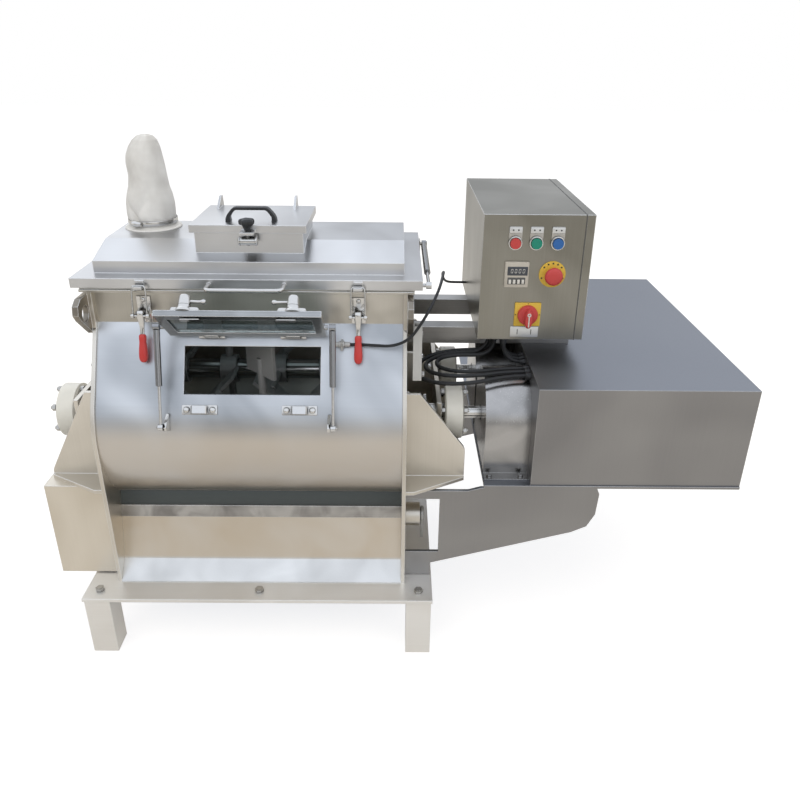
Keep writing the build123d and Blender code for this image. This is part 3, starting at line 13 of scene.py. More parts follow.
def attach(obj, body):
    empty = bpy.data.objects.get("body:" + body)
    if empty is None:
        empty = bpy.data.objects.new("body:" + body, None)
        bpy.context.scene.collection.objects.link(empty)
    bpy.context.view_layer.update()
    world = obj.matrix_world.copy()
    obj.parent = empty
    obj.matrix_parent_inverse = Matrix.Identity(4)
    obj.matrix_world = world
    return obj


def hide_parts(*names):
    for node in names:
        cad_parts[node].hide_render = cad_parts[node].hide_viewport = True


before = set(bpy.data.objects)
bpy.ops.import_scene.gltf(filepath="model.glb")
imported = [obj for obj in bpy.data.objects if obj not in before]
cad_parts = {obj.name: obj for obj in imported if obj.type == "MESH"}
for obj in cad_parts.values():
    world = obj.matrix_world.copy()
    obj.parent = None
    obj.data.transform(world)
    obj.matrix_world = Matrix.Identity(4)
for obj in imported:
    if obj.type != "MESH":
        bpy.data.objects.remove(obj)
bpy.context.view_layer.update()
log = logging.getLogger("mixer")
BODY = "mixer_body"
MM = 0.001


class Grain(Enum):
    """Direction in which a sheet was brushed."""

    ALONG_X = (0, 1, 1)
    ALONG_Y = (1, 0, 1)
    ALONG_Z = (1, 1, 0)


def colour(code: str, alpha: float = 1.0) -> tuple[float, float, float, float]:
    """Turns an sRGB hex value into linear red, green, blue and alpha.

    Args:
        code: six hex digits with a leading hash.
        alpha: opacity that goes with it.

    Returns:
        The linear colour that a shader socket takes.
    """
    parts = [int(code[i:i + 2], 16) / 255 for i in (1, 3, 5)]
    return tuple(c / 12.92 if c <= 0.04045 else ((c + 0.055) / 1.055) ** 2.4
                 for c in parts) + (alpha,)


def add(tree: bpy.types.NodeTree, kind: str, links: dict | None = None,
        **settings: object) -> bpy.types.Node:
    """Adds one node, with its settings and what feeds its inputs.

    Args:
        tree: the node tree.
        kind: the node's type name.
        links: input name or number to a value, or to the socket that feeds it.
        settings: attributes of the node.

    Returns:
        The new node.
    """
    made = tree.nodes.new(kind)
    for name, value in settings.items():
        setattr(made, name, value)
    for name, source in (links or {}).items():
        if isinstance(source, bpy.types.NodeSocket):
            tree.links.new(source, made.inputs[name])
        else:
            made.inputs[name].default_value = source
    return made


def blank(name: str) -> tuple[bpy.types.Material, bpy.types.NodeTree, bpy.types.Node]:
    """Starts a material that has only its shader and its output.

    Args:
        name: the material's name.

    Returns:
        The material, its tree and its shader node.
    """
    material = bpy.data.materials.new(name)
    material.use_nodes = True
    tree = material.node_tree
    tree.nodes.clear()
    shader = add(tree, "ShaderNodeBsdfPrincipled")
    add(tree, "ShaderNodeOutputMaterial", {"Surface": shader.outputs[0]})
    return material, tree, shader


def ramp(tree: bpy.types.NodeTree, source: bpy.types.NodeSocket, low: float, high: float,
         first: str, last: str) -> bpy.types.NodeSocket:
    """Spreads a value between two colours.

    Args:
        tree: the node tree.
        source: the value.
        low: value that gives the first colour.
        high: value that gives the last colour.
        first: hex value at the low end.
        last: hex value at the high end.

    Returns:
        The colour socket.
    """
    made = add(tree, "ShaderNodeValToRGB", {"Fac": source})
    ends = made.color_ramp.elements
    ends[0].position, ends[0].color = low, colour(first)
    ends[1].position, ends[1].color = high, colour(last)
    return made.outputs["Color"]


def spread(tree: bpy.types.NodeTree, source: bpy.types.NodeSocket, low: float,
           high: float) -> bpy.types.NodeSocket:
    """Maps a value from 0..1 to low..high.

    Args:
        tree: the node tree.
        source: the value.
        low: result at 0.
        high: result at 1.

    Returns:
        The mapped value's socket.
    """
    made = add(tree, "ShaderNodeMapRange", {"Value": source, "To Min": low, "To Max": high})
    return made.outputs["Result"]


@dataclass(frozen=True)
class BrushedSheet:
    """Stainless sheet with a brushed or mill finish.

    The eye gets fine straight streaks, broad cloudy patches painted as the room's reflection in
    the metal, and a painted highlight, a near-white line, along each folded edge. Where it is
    asked for, painted shade darkens the faces that look up.
    """

    name: str
    dark: str
    light: str
    grain: Grain = Grain.ALONG_X
    rough: float = 0.34
    streak: float = 0.05       # strength of the bump
    cloud_mm: float = 260.0    # size of the cloudy patches
    grain_mm: float = 2.6      # real grit lines are 0.2 mm; drawn coarser so that they show
    fold_mm: float = 2.2       # width of the rounded edge and its painted highlight; real folds are 1 mm, drawn wider
    fold: float = 0.75         # how bright the painted highlight along the folded edge is
    dust: float = 0.0          # how strongly painted shade darkens the faces that look up
    lines: float = 0.2         # share of the streaks in the colour; the rest is clouds
    metallic: float = 1.0      # less where a dull weathered skin scatters the light
    low: str = ""              # tone faded in between two heights: painted warm reflection of the floor
    low_mm: tuple[float, float] = (0.0, 0.0)    # heights between which it fades in

    def build(self) -> bpy.types.Material:
        """Makes the material."""
        material, tree, shader = blank(self.name)
        place = add(tree, "ShaderNodeTexCoord").outputs["Object"]
        across = 1000 / self.grain_mm
        scale = [across if flag else across / 90 for flag in self.grain.value]
        lines = add(tree, "ShaderNodeMapping", {"Vector": place, "Scale": scale})
        streaks = add(tree, "ShaderNodeTexNoise", {
            "Vector": lines.outputs[0], "Scale": 1.0, "Detail": 3.0, "Roughness": 0.6})
        # painted reflection: broad cloudy patches in the colour stand for the room seen in the
        # metal
        clouds = add(tree, "ShaderNodeTexNoise", {
            "Vector": place, "Scale": 1000 / self.cloud_mm, "Detail": 2.0, "Roughness": 0.5,
            "Distortion": 0.6})
        blend = add(tree, "ShaderNodeMix", {
            "Factor": self.lines, 2: clouds.outputs["Fac"], 3: streaks.outputs["Fac"]})
        sheet = ramp(tree, blend.outputs[0], 0.34, 0.66, self.dark, self.light)
        edge = add(tree, "ShaderNodeBevel", {"Radius": self.fold_mm * MM}, samples=6)
        face = add(tree, "ShaderNodeNewGeometry")
        # painted reflection: a warmer tone, faded in between two heights, stands for the floor
        # mirrored there
        if self.low:
            height = add(tree, "ShaderNodeSeparateXYZ", {0: place})
            fade = add(tree, "ShaderNodeMapRange", {
                "Value": height.outputs["Z"], "From Min": self.low_mm[1] * MM,
                "From Max": self.low_mm[0] * MM}, interpolation_type="SMOOTHSTEP")
            mill = ramp(tree, blend.outputs[0], 0.30, 0.70, self.low, self.light)
            mill = add(tree, "ShaderNodeMix", {"Factor": 0.35, 6: colour(self.low), 7: mill},
                       data_type="RGBA").outputs[2]
            sheet = add(tree, "ShaderNodeMix", {"Factor": fade.outputs["Result"], 6: sheet,
                                                7: mill}, data_type="RGBA").outputs[2]
        # painted shade: faces that look up are darkened towards a bluish grey
        if self.dust:
            upward = add(tree, "ShaderNodeSeparateXYZ", {0: face.outputs["True Normal"]})
            painted_top_shade = add(tree, "ShaderNodeMapRange", {
                "Value": upward.outputs["Z"], "From Min": 0.6, "From Max": 0.95,
                "To Min": 0.0, "To Max": self.dust})
            sheet = add(tree, "ShaderNodeMix", {
                "Factor": painted_top_shade.outputs["Result"], 6: sheet, 7: colour("#868990")},
                data_type="RGBA").outputs[2]
        # painted highlight: where the rounded edge turns away from the face, the colour goes near
        # white
        turn = add(tree, "ShaderNodeVectorMath", {
            0: edge.outputs[0], 1: face.outputs["True Normal"]}, operation="DOT_PRODUCT")
        painted_fold_highlight = add(tree, "ShaderNodeMapRange", {
            "Value": turn.outputs["Value"], "From Min": 0.985, "From Max": 0.90,
            "To Min": 0.0, "To Max": self.fold})
        sheet = add(tree, "ShaderNodeMix", {
            "Factor": painted_fold_highlight.outputs["Result"], 6: sheet, 7: colour("#FAFAF8")},
            data_type="RGBA").outputs[2]
        tree.links.new(sheet, shader.inputs["Base Color"])
        tree.links.new(spread(tree, streaks.outputs["Fac"], self.rough - 0.06,
                              self.rough + 0.08), shader.inputs["Roughness"])
        bump = add(tree, "ShaderNodeBump", {
            "Height": streaks.outputs["Fac"], "Normal": edge.outputs[0],
            "Strength": self.streak, "Distance": 0.3 * MM})
        tree.links.new(bump.outputs[0], shader.inputs["Normal"])
        shader.inputs["Metallic"].default_value = self.metallic
        return material


@dataclass(frozen=True)
class TurnedSteel:
    """Turned or drawn bright steel: rings or lines about the axis and crisp reflections.

    The eye also gets darker nooks, where the light between two fittings is lost.
    """

    name: str
    tone: str
    rough: float = 0.22
    ring_mm: float = 1.5
    metallic: float = 1.0
    nook: str = "#3C3A37"      # tone in the nooks

    def build(self) -> bpy.types.Material:
        """Makes the material."""
        material, tree, shader = blank(self.name)
        place = add(tree, "ShaderNodeTexCoord").outputs["Object"]
        rings = add(tree, "ShaderNodeTexWave", {
            "Vector": place, "Scale": 314 / self.ring_mm, "Distortion": 1.2, "Detail": 2.0},
            bands_direction="X")
        spots = add(tree, "ShaderNodeTexNoise", {"Vector": place, "Scale": 90.0, "Detail": 3.0})
        tree.links.new(spread(tree, spots.outputs["Fac"], self.rough - 0.08, self.rough + 0.1),
                       shader.inputs["Roughness"])
        edge = add(tree, "ShaderNodeBevel", {"Radius": 0.8 * MM}, samples=4)
        bump = add(tree, "ShaderNodeBump", {
            "Height": rings.outputs["Fac"], "Normal": edge.outputs[0], "Strength": 0.06,
            "Distance": 0.2 * MM})
        tree.links.new(bump.outputs[0], shader.inputs["Normal"])
        nooks = add(tree, "ShaderNodeAmbientOcclusion", {"Distance": 14 * MM}, samples=6)
        tree.links.new(ramp(tree, nooks.outputs["AO"], 0.25, 0.85, self.nook, self.tone),
                       shader.inputs["Base Color"])
        shader.inputs["Metallic"].default_value = self.metallic
        return material


@dataclass(frozen=True)
class Moulded:
    """Moulded plastic, enamel or rubber: one pigment, faint mottling and a fine skin texture."""

    name: str
    tone: str
    rough: float = 0.35
    grain_mm: float = 1.2
    bump: float = 0.08
    coat: float = 0.0
    shade: float = 0.12        # how much darker the mottling gets

    def build(self) -> bpy.types.Material:
        """Makes the material."""
        material, tree, shader = blank(self.name)
        place = add(tree, "ShaderNodeTexCoord").outputs["Object"]
        grain = add(tree, "ShaderNodeTexNoise", {
            "Vector": place, "Scale": 1000 / self.grain_mm, "Detail": 2.0})
        patches = add(tree, "ShaderNodeTexNoise", {"Vector": place, "Scale": 45.0,
                                                   "Detail": 3.0})
        base = colour(self.tone)
        tint = add(tree, "ShaderNodeMix", {
            "Factor": patches.outputs["Fac"],
            6: tuple(c * (1 - self.shade) for c in base[:3]) + (1.0,), 7: base},
            data_type="RGBA")
        tree.links.new(tint.outputs[2], shader.inputs["Base Color"])
        tree.links.new(spread(tree, patches.outputs["Fac"], self.rough - 0.05,
                              self.rough + 0.08), shader.inputs["Roughness"])
        edge = add(tree, "ShaderNodeBevel", {"Radius": 0.7 * MM}, samples=4)
        bump = add(tree, "ShaderNodeBump", {
            "Height": grain.outputs["Fac"], "Normal": edge.outputs[0],
            "Strength": self.bump, "Distance": 0.2 * MM})
        tree.links.new(bump.outputs[0], shader.inputs["Normal"])
        shader.inputs["Coat Weight"].default_value = self.coat
        return material


@dataclass(frozen=True)
class FilterCloth:
    """Plain woven polyester filter cloth: white, matt, soft at the edges, threads 2 mm apart."""

    name: str = "woven polyester filter cloth"
    thread_mm: float = 2.0     # real threads are 0.5 mm apart; drawn coarser so that they show

    def build(self) -> bpy.types.Material:
        """Makes the material."""
        material, tree, shader = blank(self.name)
        place = add(tree, "ShaderNodeTexCoord").outputs["UV"]
        size = 314 / self.thread_mm
        warp = add(tree, "ShaderNodeTexWave", {"Vector": place, "Scale": size},
                   bands_direction="X")
        weft = add(tree, "ShaderNodeTexWave", {"Vector": place, "Scale": size},
                   bands_direction="Y")
        weave = add(tree, "ShaderNodeMath", {0: warp.outputs["Fac"], 1: weft.outputs["Fac"]},
                    operation="MAXIMUM")
        dust = add(tree, "ShaderNodeTexNoise", {"Vector": place, "Scale": 14.0, "Detail": 3.0})
        tree.links.new(ramp(tree, dust.outputs["Fac"], 0.35, 0.65, "#DAD8D4", "#F0EFEC"),
                       shader.inputs["Base Color"])
        bump = add(tree, "ShaderNodeBump", {"Height": weave.outputs[0], "Strength": 0.18,
                                            "Distance": 0.4 * MM})
        tree.links.new(bump.outputs[0], shader.inputs["Normal"])
        shader.inputs["Roughness"].default_value = 0.92
        shader.inputs["Sheen Weight"].default_value = 0.25
        return material


@dataclass(frozen=True)
class SmokedGlass:
    """Toughened smoked glass: dark grey with a green cast, and sharp reflections."""

    name: str = "toughened smoked glass"

    def build(self) -> bpy.types.Material:
        """Makes the material."""
        material, tree, shader = blank(self.name)
        place = add(tree, "ShaderNodeTexCoord").outputs["Object"]
        haze = add(tree, "ShaderNodeTexNoise", {"Vector": place, "Scale": 18.0, "Detail": 3.0})
        tree.links.new(spread(tree, haze.outputs["Fac"], 0.0, 0.07), shader.inputs["Roughness"])
        shader.inputs["Base Color"].default_value = colour("#838D8D")
        shader.inputs["IOR"].default_value = 1.52
        shader.inputs["Transmission Weight"].default_value = 0.9
        return material


class Finishes:
    """Every finish of the mixer, built once."""

    def __init__(self) -> None:
        """Builds the materials."""
        # the trough's lower part takes a painted warm reflection of the floor
        self.trough = BrushedSheet("satin rolled trough sheet", "#A6A9AC", "#D6D8DA",
                                   rough=0.36, streak=0.015, grain_mm=1.8, lines=0.06,
                                   cloud_mm=190, low="#C9C0B4", low_mm=(500, 566)).build()
        # the upright band under the lid: a warmer copy of the trough's sheet, painted as the
        # floor's reflection
        self.band = BrushedSheet("brushed band with painted floor reflection", "#AAA59B", "#CFCAC0", Grain.ALONG_Z,
                                 0.34, streak=0.015, grain_mm=1.8, cloud_mm=150,
                                 lines=0.1).build()
        # the lifting eyes: a darker, browner copy of the end plate's sheet, painted as their
        # reflection
        self.eye = BrushedSheet("lifting eye with painted dark reflection", "#7C756B", "#9E978C", Grain.ALONG_Z,
                                0.34, streak=0.015, cloud_mm=90).build()
        self.plate = BrushedSheet("brushed end plate", "#C5BEB2", "#E1DBD0",
                                  Grain.ALONG_Z, 0.36, streak=0.02, lines=0.12).build()
        self.case = BrushedSheet("mill finish actuator cover", "#CAC0AF", "#E0D8CA",
                                 Grain.ALONG_Z, 0.38, streak=0.02, lines=0.1).build()
        self.lid = BrushedSheet("brushed lid sheet", "#BAB9B8", "#D6D6D6", rough=0.30,
                                cloud_mm=240, streak=0.02, lines=0.1, fold=0.9).build()
        self.box = BrushedSheet("brushed control box sheet", "#838076", "#9C9990",
                                Grain.ALONG_Z, 0.30, cloud_mm=200, fold=0.9, streak=0.02,
                                lines=0.14).build()
        # the cover's dust setting paints shade onto its top faces
        self.cover = BrushedSheet("brushed drive cover sheet", "#8A8887", "#9C9A98",
                                  Grain.ALONG_Z, 0.40, cloud_mm=420, streak=0.02, dust=0.85,
                                  fold=0.35, lines=0.12).build()
        self.guard = BrushedSheet("rolled guard sheet", "#908F8D", "#B2B0AE",
                                  Grain.ALONG_Z, 0.24, cloud_mm=110, fold_mm=1.0, fold=0.3,
                                  lines=0.1).build()
        self.frame = BrushedSheet("welded base frame steel", "#E0DCD5", "#F4F2EE",
                                  Grain.ALONG_X, 0.38, streak=0.02, lines=0.1,
                                  metallic=0.7).build()
        # most of the skirt takes a painted warm reflection of the floor; its bottom stays grey
        self.skirt = BrushedSheet("skirt sheet with painted floor reflection", "#C9C8C5", "#E4E3E0",
                                  Grain.ALONG_Z, 0.34, cloud_mm=120, streak=0.02, lines=0.1,
                                  low="#CFC2AF", low_mm=(196, 189)).build()
        self.door = BrushedSheet("polished window frame", "#8B8C8C", "#B5B6B6",
                                 Grain.ALONG_X, 0.24, cloud_mm=120, fold=0.95).build()
        self.rail = BrushedSheet("square tube rail", "#8D8B88", "#B9B7B4", Grain.ALONG_X,
                                 0.36, cloud_mm=200).build()
        self.bright = TurnedSteel("turned bright steel", "#D2D0CC", 0.16).build()
        self.chrome = TurnedSteel("chromed strut steel", "#D0CFCD", 0.12, 1.0).build()
        self.tube = TurnedSteel("drawn strut tube", "#97989A", 0.14, 0.8).build()
        self.dull = TurnedSteel("blasted rotor steel", "#C2C2C0", 0.46, 3.0, 0.35).build()
        self.zinc = TurnedSteel("stainless fastener", "#BDBAB4", 0.28, 1.0).build()
        self.enamel = Moulded("cream bearing enamel", "#F6F4EB", 0.34, 2.0, 0.10, 0.3).build()
        self.drive = Moulded("blue grey machine enamel", "#5E6C78", 0.38, 2.0, 0.10).build()
        self.black = Moulded("black moulded nylon", "#232426", 0.42, 0.9, 0.12).build()
        self.red = Moulded("red dipped vinyl", "#D23A36", 0.30, 1.0, 0.05, 0.2).build()
        self.stop = Moulded("red moulded button", "#D04A48", 0.38, 1.0, 0.03).build()
        self.green = Moulded("green moulded button", "#159078", 0.32, 1.0, 0.03).build()
        self.blue = Moulded("blue moulded button", "#2F6CB4", 0.32, 1.0, 0.03).build()
        self.yellow = Moulded("yellow moulded plate", "#E8C24A", 0.42, 1.0, 0.03).build()
        self.timer = Moulded("pale moulded timer case", "#CDC6BA", 0.35, 1.0, 0.04).build()
        # seal: a dark strip that paints the shadow in the recess under the trough
        self.seal = Moulded("painted recess shadow", "#474D4D", 0.5, 2.0, 0.06).build()
        # lip: a darker grey than the skirt, painted as the shade under the shell's bulge
        self.lip = BrushedSheet("pressed skirt lip", "#8C8883", "#B9B5AF", Grain.ALONG_X, 0.4,
                                cloud_mm=45, streak=0.02, lines=0.1).build()
        self.hem = Moulded("white moulded vent flange", "#F1EFEA", 0.45, 1.5, 0.05).build()
        self.silver = TurnedSteel("silver label plate", "#D8D8D6", 0.36, 1.0).build()
        self.ink = Moulded("dark anodised marks", "#33332F", 0.45, 1.0, 0.03).build()
        self.white = Moulded("white moulded keys", "#E9E6DF", 0.40, 1.0, 0.03).build()
        self.cable = Moulded("black cable jacket", "#1C1D1F", 0.48, 1.5, 0.10).build()
        self.gasket = Moulded("grey silicone gasket", "#5A5A58", 0.55, 1.5, 0.10).build()
        self.silicone = Moulded("white silicone gasket", "#E6E4DE", 0.55, 1.5, 0.10).build()
        self.screen = Moulded("smoked display window", "#3A3F47", 0.15, 1.0, 0.0, 0.4).build()
        self.cloth = FilterCloth().build()
        self.glass = SmokedGlass().build()


def rings_mesh(name: str, rings: np.ndarray, material: bpy.types.Material,
               capped: bool = True, uv: np.ndarray | None = None,
               smooth_deg: float = 35.0) -> bpy.types.Object:
    """Skins a stack of closed rings into one surface.

    Args:
        name: the piece's name.
        rings: points as (ring, point in the ring, xyz).
        material: its finish.
        capped: closes both ends with a face.
        uv: texture place of each point, as (ring, point, 2), or None.
        smooth_deg: edges sharper than this stay crisp.

    Returns:
        The object, at the origin.
    """
    count, size = rings.shape[:2]
    index = np.arange(count * size).reshape(count, size)
    after = np.roll(index, -1, axis=1)
    quads = np.stack([index[:-1], after[:-1], after[1:], index[1:]], axis=-1).reshape(-1, 4)
    faces = quads.tolist()
    if capped:
        faces.append(index[0][::-1].tolist())
        faces.append(index[-1].tolist())
    mesh = bpy.data.meshes.new(name)
    mesh.from_pydata(rings.reshape(-1, 3).tolist(), [], faces)
    if uv is not None:
        layer = mesh.uv_layers.new(name="UVMap")
        corners = np.zeros(len(mesh.loops), dtype=np.int32)
        mesh.loops.foreach_get("vertex_index", corners)
        layer.data.foreach_set("uv", uv.reshape(-1, 2)[corners].ravel())
    return finish_mesh(name, mesh, material, smooth_deg)


def finish_mesh(name: str, mesh: bpy.types.Mesh, material: bpy.types.Material,
                smooth_deg: float = 35.0) -> bpy.types.Object:
    """Merges doubles, points faces outwards, smooths soft edges and links the piece.

    Args:
        name: the piece's name.
        mesh: the mesh.
        material: its finish.
        smooth_deg: edges sharper than this stay crisp.

    Returns:
        The object.
    """
    work = bmesh.new()
    work.from_mesh(mesh)
    bmesh.ops.remove_doubles(work, verts=work.verts, dist=1e-6)
    bmesh.ops.recalc_face_normals(work, faces=work.faces)
    work.to_mesh(mesh)
    work.free()
    mesh.materials.append(material)
    mesh.shade_smooth()
    mesh.set_sharp_from_angle(angle=math.radians(smooth_deg))
    made = bpy.data.objects.new(name, mesh)
    bpy.context.scene.collection.objects.link(made)
    return made


def turned(profile: list[tuple[float, float]], origin: tuple[float, float, float],
           axis: tuple[float, float, float] = (0, 0, 1), steps: int = 48,
           lobes: int = 0, wave: float = 0.0) -> np.ndarray:
    """Rings of a turned shape: each (radius, height) pair becomes a circle about the axis.

    Args:
        profile: radius and height pairs in millimetres, from one end to the other.
        origin: the axis's foot in millimetres.
        axis: direction of the height.
        steps: points in each circle.
        lobes: number of lobes round the circle, for a star knob.
        wave: how far the lobes stand out, as a share of the radius.

    Returns:
        Points in metres as (ring, point, xyz).
    """
    up = np.array(axis, dtype=float) / np.linalg.norm(axis)
    side = np.cross(up, (0.0, 1.0, 0.0) if abs(up[1]) < 0.9 else (0.0, 0.0, 1.0))
    side /= np.linalg.norm(side)
    ahead = np.cross(up, side)
    turn = np.linspace(0, 2 * np.pi, steps, endpoint=False)
    radius = np.array([p[0] for p in profile])[:, None] * (1 + wave * np.cos(lobes * turn))
    height = np.array([p[1] for p in profile])[:, None] + 0 * turn
    out = radius * np.cos(turn)
    over = radius * np.sin(turn)
    rings = (out[..., None] * side + over[..., None] * ahead + height[..., None] * up)
    return (rings + np.array(origin)) * MM


def plate_rings(centre: tuple[float, float, float], width: float, height: float, depth: float,
                corner: float = 2.0, edge: float = 0.6,
                across: tuple[float, float, float] = (1, 0, 0),
                along: tuple[float, float, float] = (0, 0, 1)) -> np.ndarray:
    """Rings of a flat plate: a rounded rectangle, drawn in towards its rim on the far side.

    Args:
        centre: middle of the face that it stands on, millimetres.
        width: size in the first direction.
        height: size in the second direction.
        depth: how far it stands out, towards their cross product.
        corner: corner radius.
        edge: size of the rounding at the far rim.
        across: first direction.
        along: second direction.

    Returns:
        Points in metres as (ring, point, xyz).
    """
    first, second = np.array(across, dtype=float), np.array(along, dtype=float)
    out = np.cross(first, second)
    quarter = np.linspace(0, np.pi / 2, 6)
    turn = np.concatenate([quarter + k * np.pi / 2 for k in range(4)])
    side_u = np.repeat([1, -1, -1, 1], 6)
    side_v = np.repeat([1, 1, -1, -1], 6)
    inset = np.array([0.0, 0.0, edge * 0.3, edge])[:, None]
    rise = np.array([0.0, depth - edge, depth - edge * 0.3, depth])[:, None] + 0 * turn
    r = np.maximum(corner - inset, 0.05)
    u = side_u * (width / 2 - inset - r) + r * np.cos(turn)
    v = side_v * (height / 2 - inset - r) + r * np.sin(turn)
    rings = u[..., None] * first + v[..., None] * second + rise[..., None] * out
    return (rings + np.array(centre)) * MM


def swept(points: np.ndarray, wide: np.ndarray | float, deep: np.ndarray | float,
          side: tuple[float, float, float] = (1, 0, 0), power: float = 1.0,
          steps: int = 24) -> np.ndarray:
    """Rings of a bar along a flat line: a superellipse across it at each point.

    Args:
        points: the line in millimetres, as (point, xyz), in a plane square to the side.
        wide: half width of the bar along the side, at each point or for all.
        deep: half thickness in the plane of the line.
        side: direction square to that plane.
        power: 1 is an oval, and a smaller power a rounder-cornered rectangle.
        steps: points in each ring.

    Returns:
        Points in metres as (ring, point, xyz).
    """
    ahead = np.gradient(points, axis=0)
    ahead /= np.linalg.norm(ahead, axis=1, keepdims=True)
    across = np.array(side, dtype=float)
    upright = np.cross(ahead, across)
    upright /= np.linalg.norm(upright, axis=1, keepdims=True)
    turn = np.linspace(0, 2 * np.pi, steps, endpoint=False)
    u = np.sign(np.cos(turn)) * np.abs(np.cos(turn)) ** power
    v = np.sign(np.sin(turn)) * np.abs(np.sin(turn)) ** power
    half_u = np.broadcast_to(np.asarray(wide, dtype=float), (len(points),))[:, None] * u
    half_v = np.broadcast_to(np.asarray(deep, dtype=float), (len(points),))[:, None] * v
    rings = points[:, None] + half_u[..., None] * across + half_v[..., None] * upright[:, None]
    return rings * MM


def arch(half: float, rise: float, power: float, count: int = 61) -> tuple[np.ndarray, np.ndarray]:
    """An arch from one foot over to the other: a superellipse's upper half.

    Args:
        half: half of the span.
        rise: height of the top over the feet.
        power: 1 is an ellipse, and a smaller power squares the shoulders.
        count: number of points.

    Returns:
        Distances from the middle, and heights.
    """
    turn = np.linspace(-np.pi / 2, np.pi / 2, count)
    # eased so that points gather at the shoulders
    turn = turn + 0.22 * np.sin(4 * turn)
    return (half * np.sign(np.sin(turn)) * np.abs(np.sin(turn)) ** power,
            rise * np.abs(np.cos(turn)) ** power)


@dataclass
class PhotoCamera:
    """The camera, solved from the photograph's edges. Metres and degrees."""

    place: tuple[float, float, float] = (0.2985, -1.6463, 1.2571)
    pitch: float = 25.62
    yaw: float = 0.36
    roll: float = 0.57
    focal_px: float = 749.18
    centre_y_px: float = 397.34
    side_px: float = 800.0

    def build(self) -> None:
        """Places the camera and makes it the scene's."""
        pitch, yaw, roll = (math.radians(v) for v in (self.pitch, self.yaw, self.roll))
        right = np.array([math.cos(yaw), -math.sin(yaw), 0.0])
        ahead = np.array([math.sin(yaw) * math.cos(pitch), math.cos(yaw) * math.cos(pitch),
                          -math.sin(pitch)])
        up = np.cross(right, ahead)
        across = right * math.cos(roll) + up * math.sin(roll)
        upright = up * math.cos(roll) - right * math.sin(roll)
        data = bpy.data.cameras.new("photo_camera")
        data.sensor_width = 36.0
        data.lens = self.focal_px / self.side_px * data.sensor_width
        data.shift_y = (self.centre_y_px - self.side_px / 2) / self.side_px
        camera = bpy.data.objects.new("photo_camera", data)
        turn = Matrix([[across[i], upright[i], -ahead[i]] for i in range(3)]).to_4x4()
        turn.translation = self.place
        camera.matrix_world = turn
        bpy.context.scene.collection.objects.link(camera)
        bpy.context.scene.camera = camera
        log.info("camera placed")


def sight(tree: bpy.types.NodeTree) -> tuple[bpy.types.Node, bpy.types.NodeSocket]:
    """Tells looking from lighting.

    Args:
        tree: the node tree.

    Returns:
        The light path node, and a value of 1 for rays that look, bare or through glass.
    """
    rays = add(tree, "ShaderNodeLightPath")
    seen = add(tree, "ShaderNodeMath", {0: rays.outputs["Is Camera Ray"],
                                        1: rays.outputs["Is Transmission Ray"]},
               operation="MAXIMUM")
    return rays, seen.outputs[0]


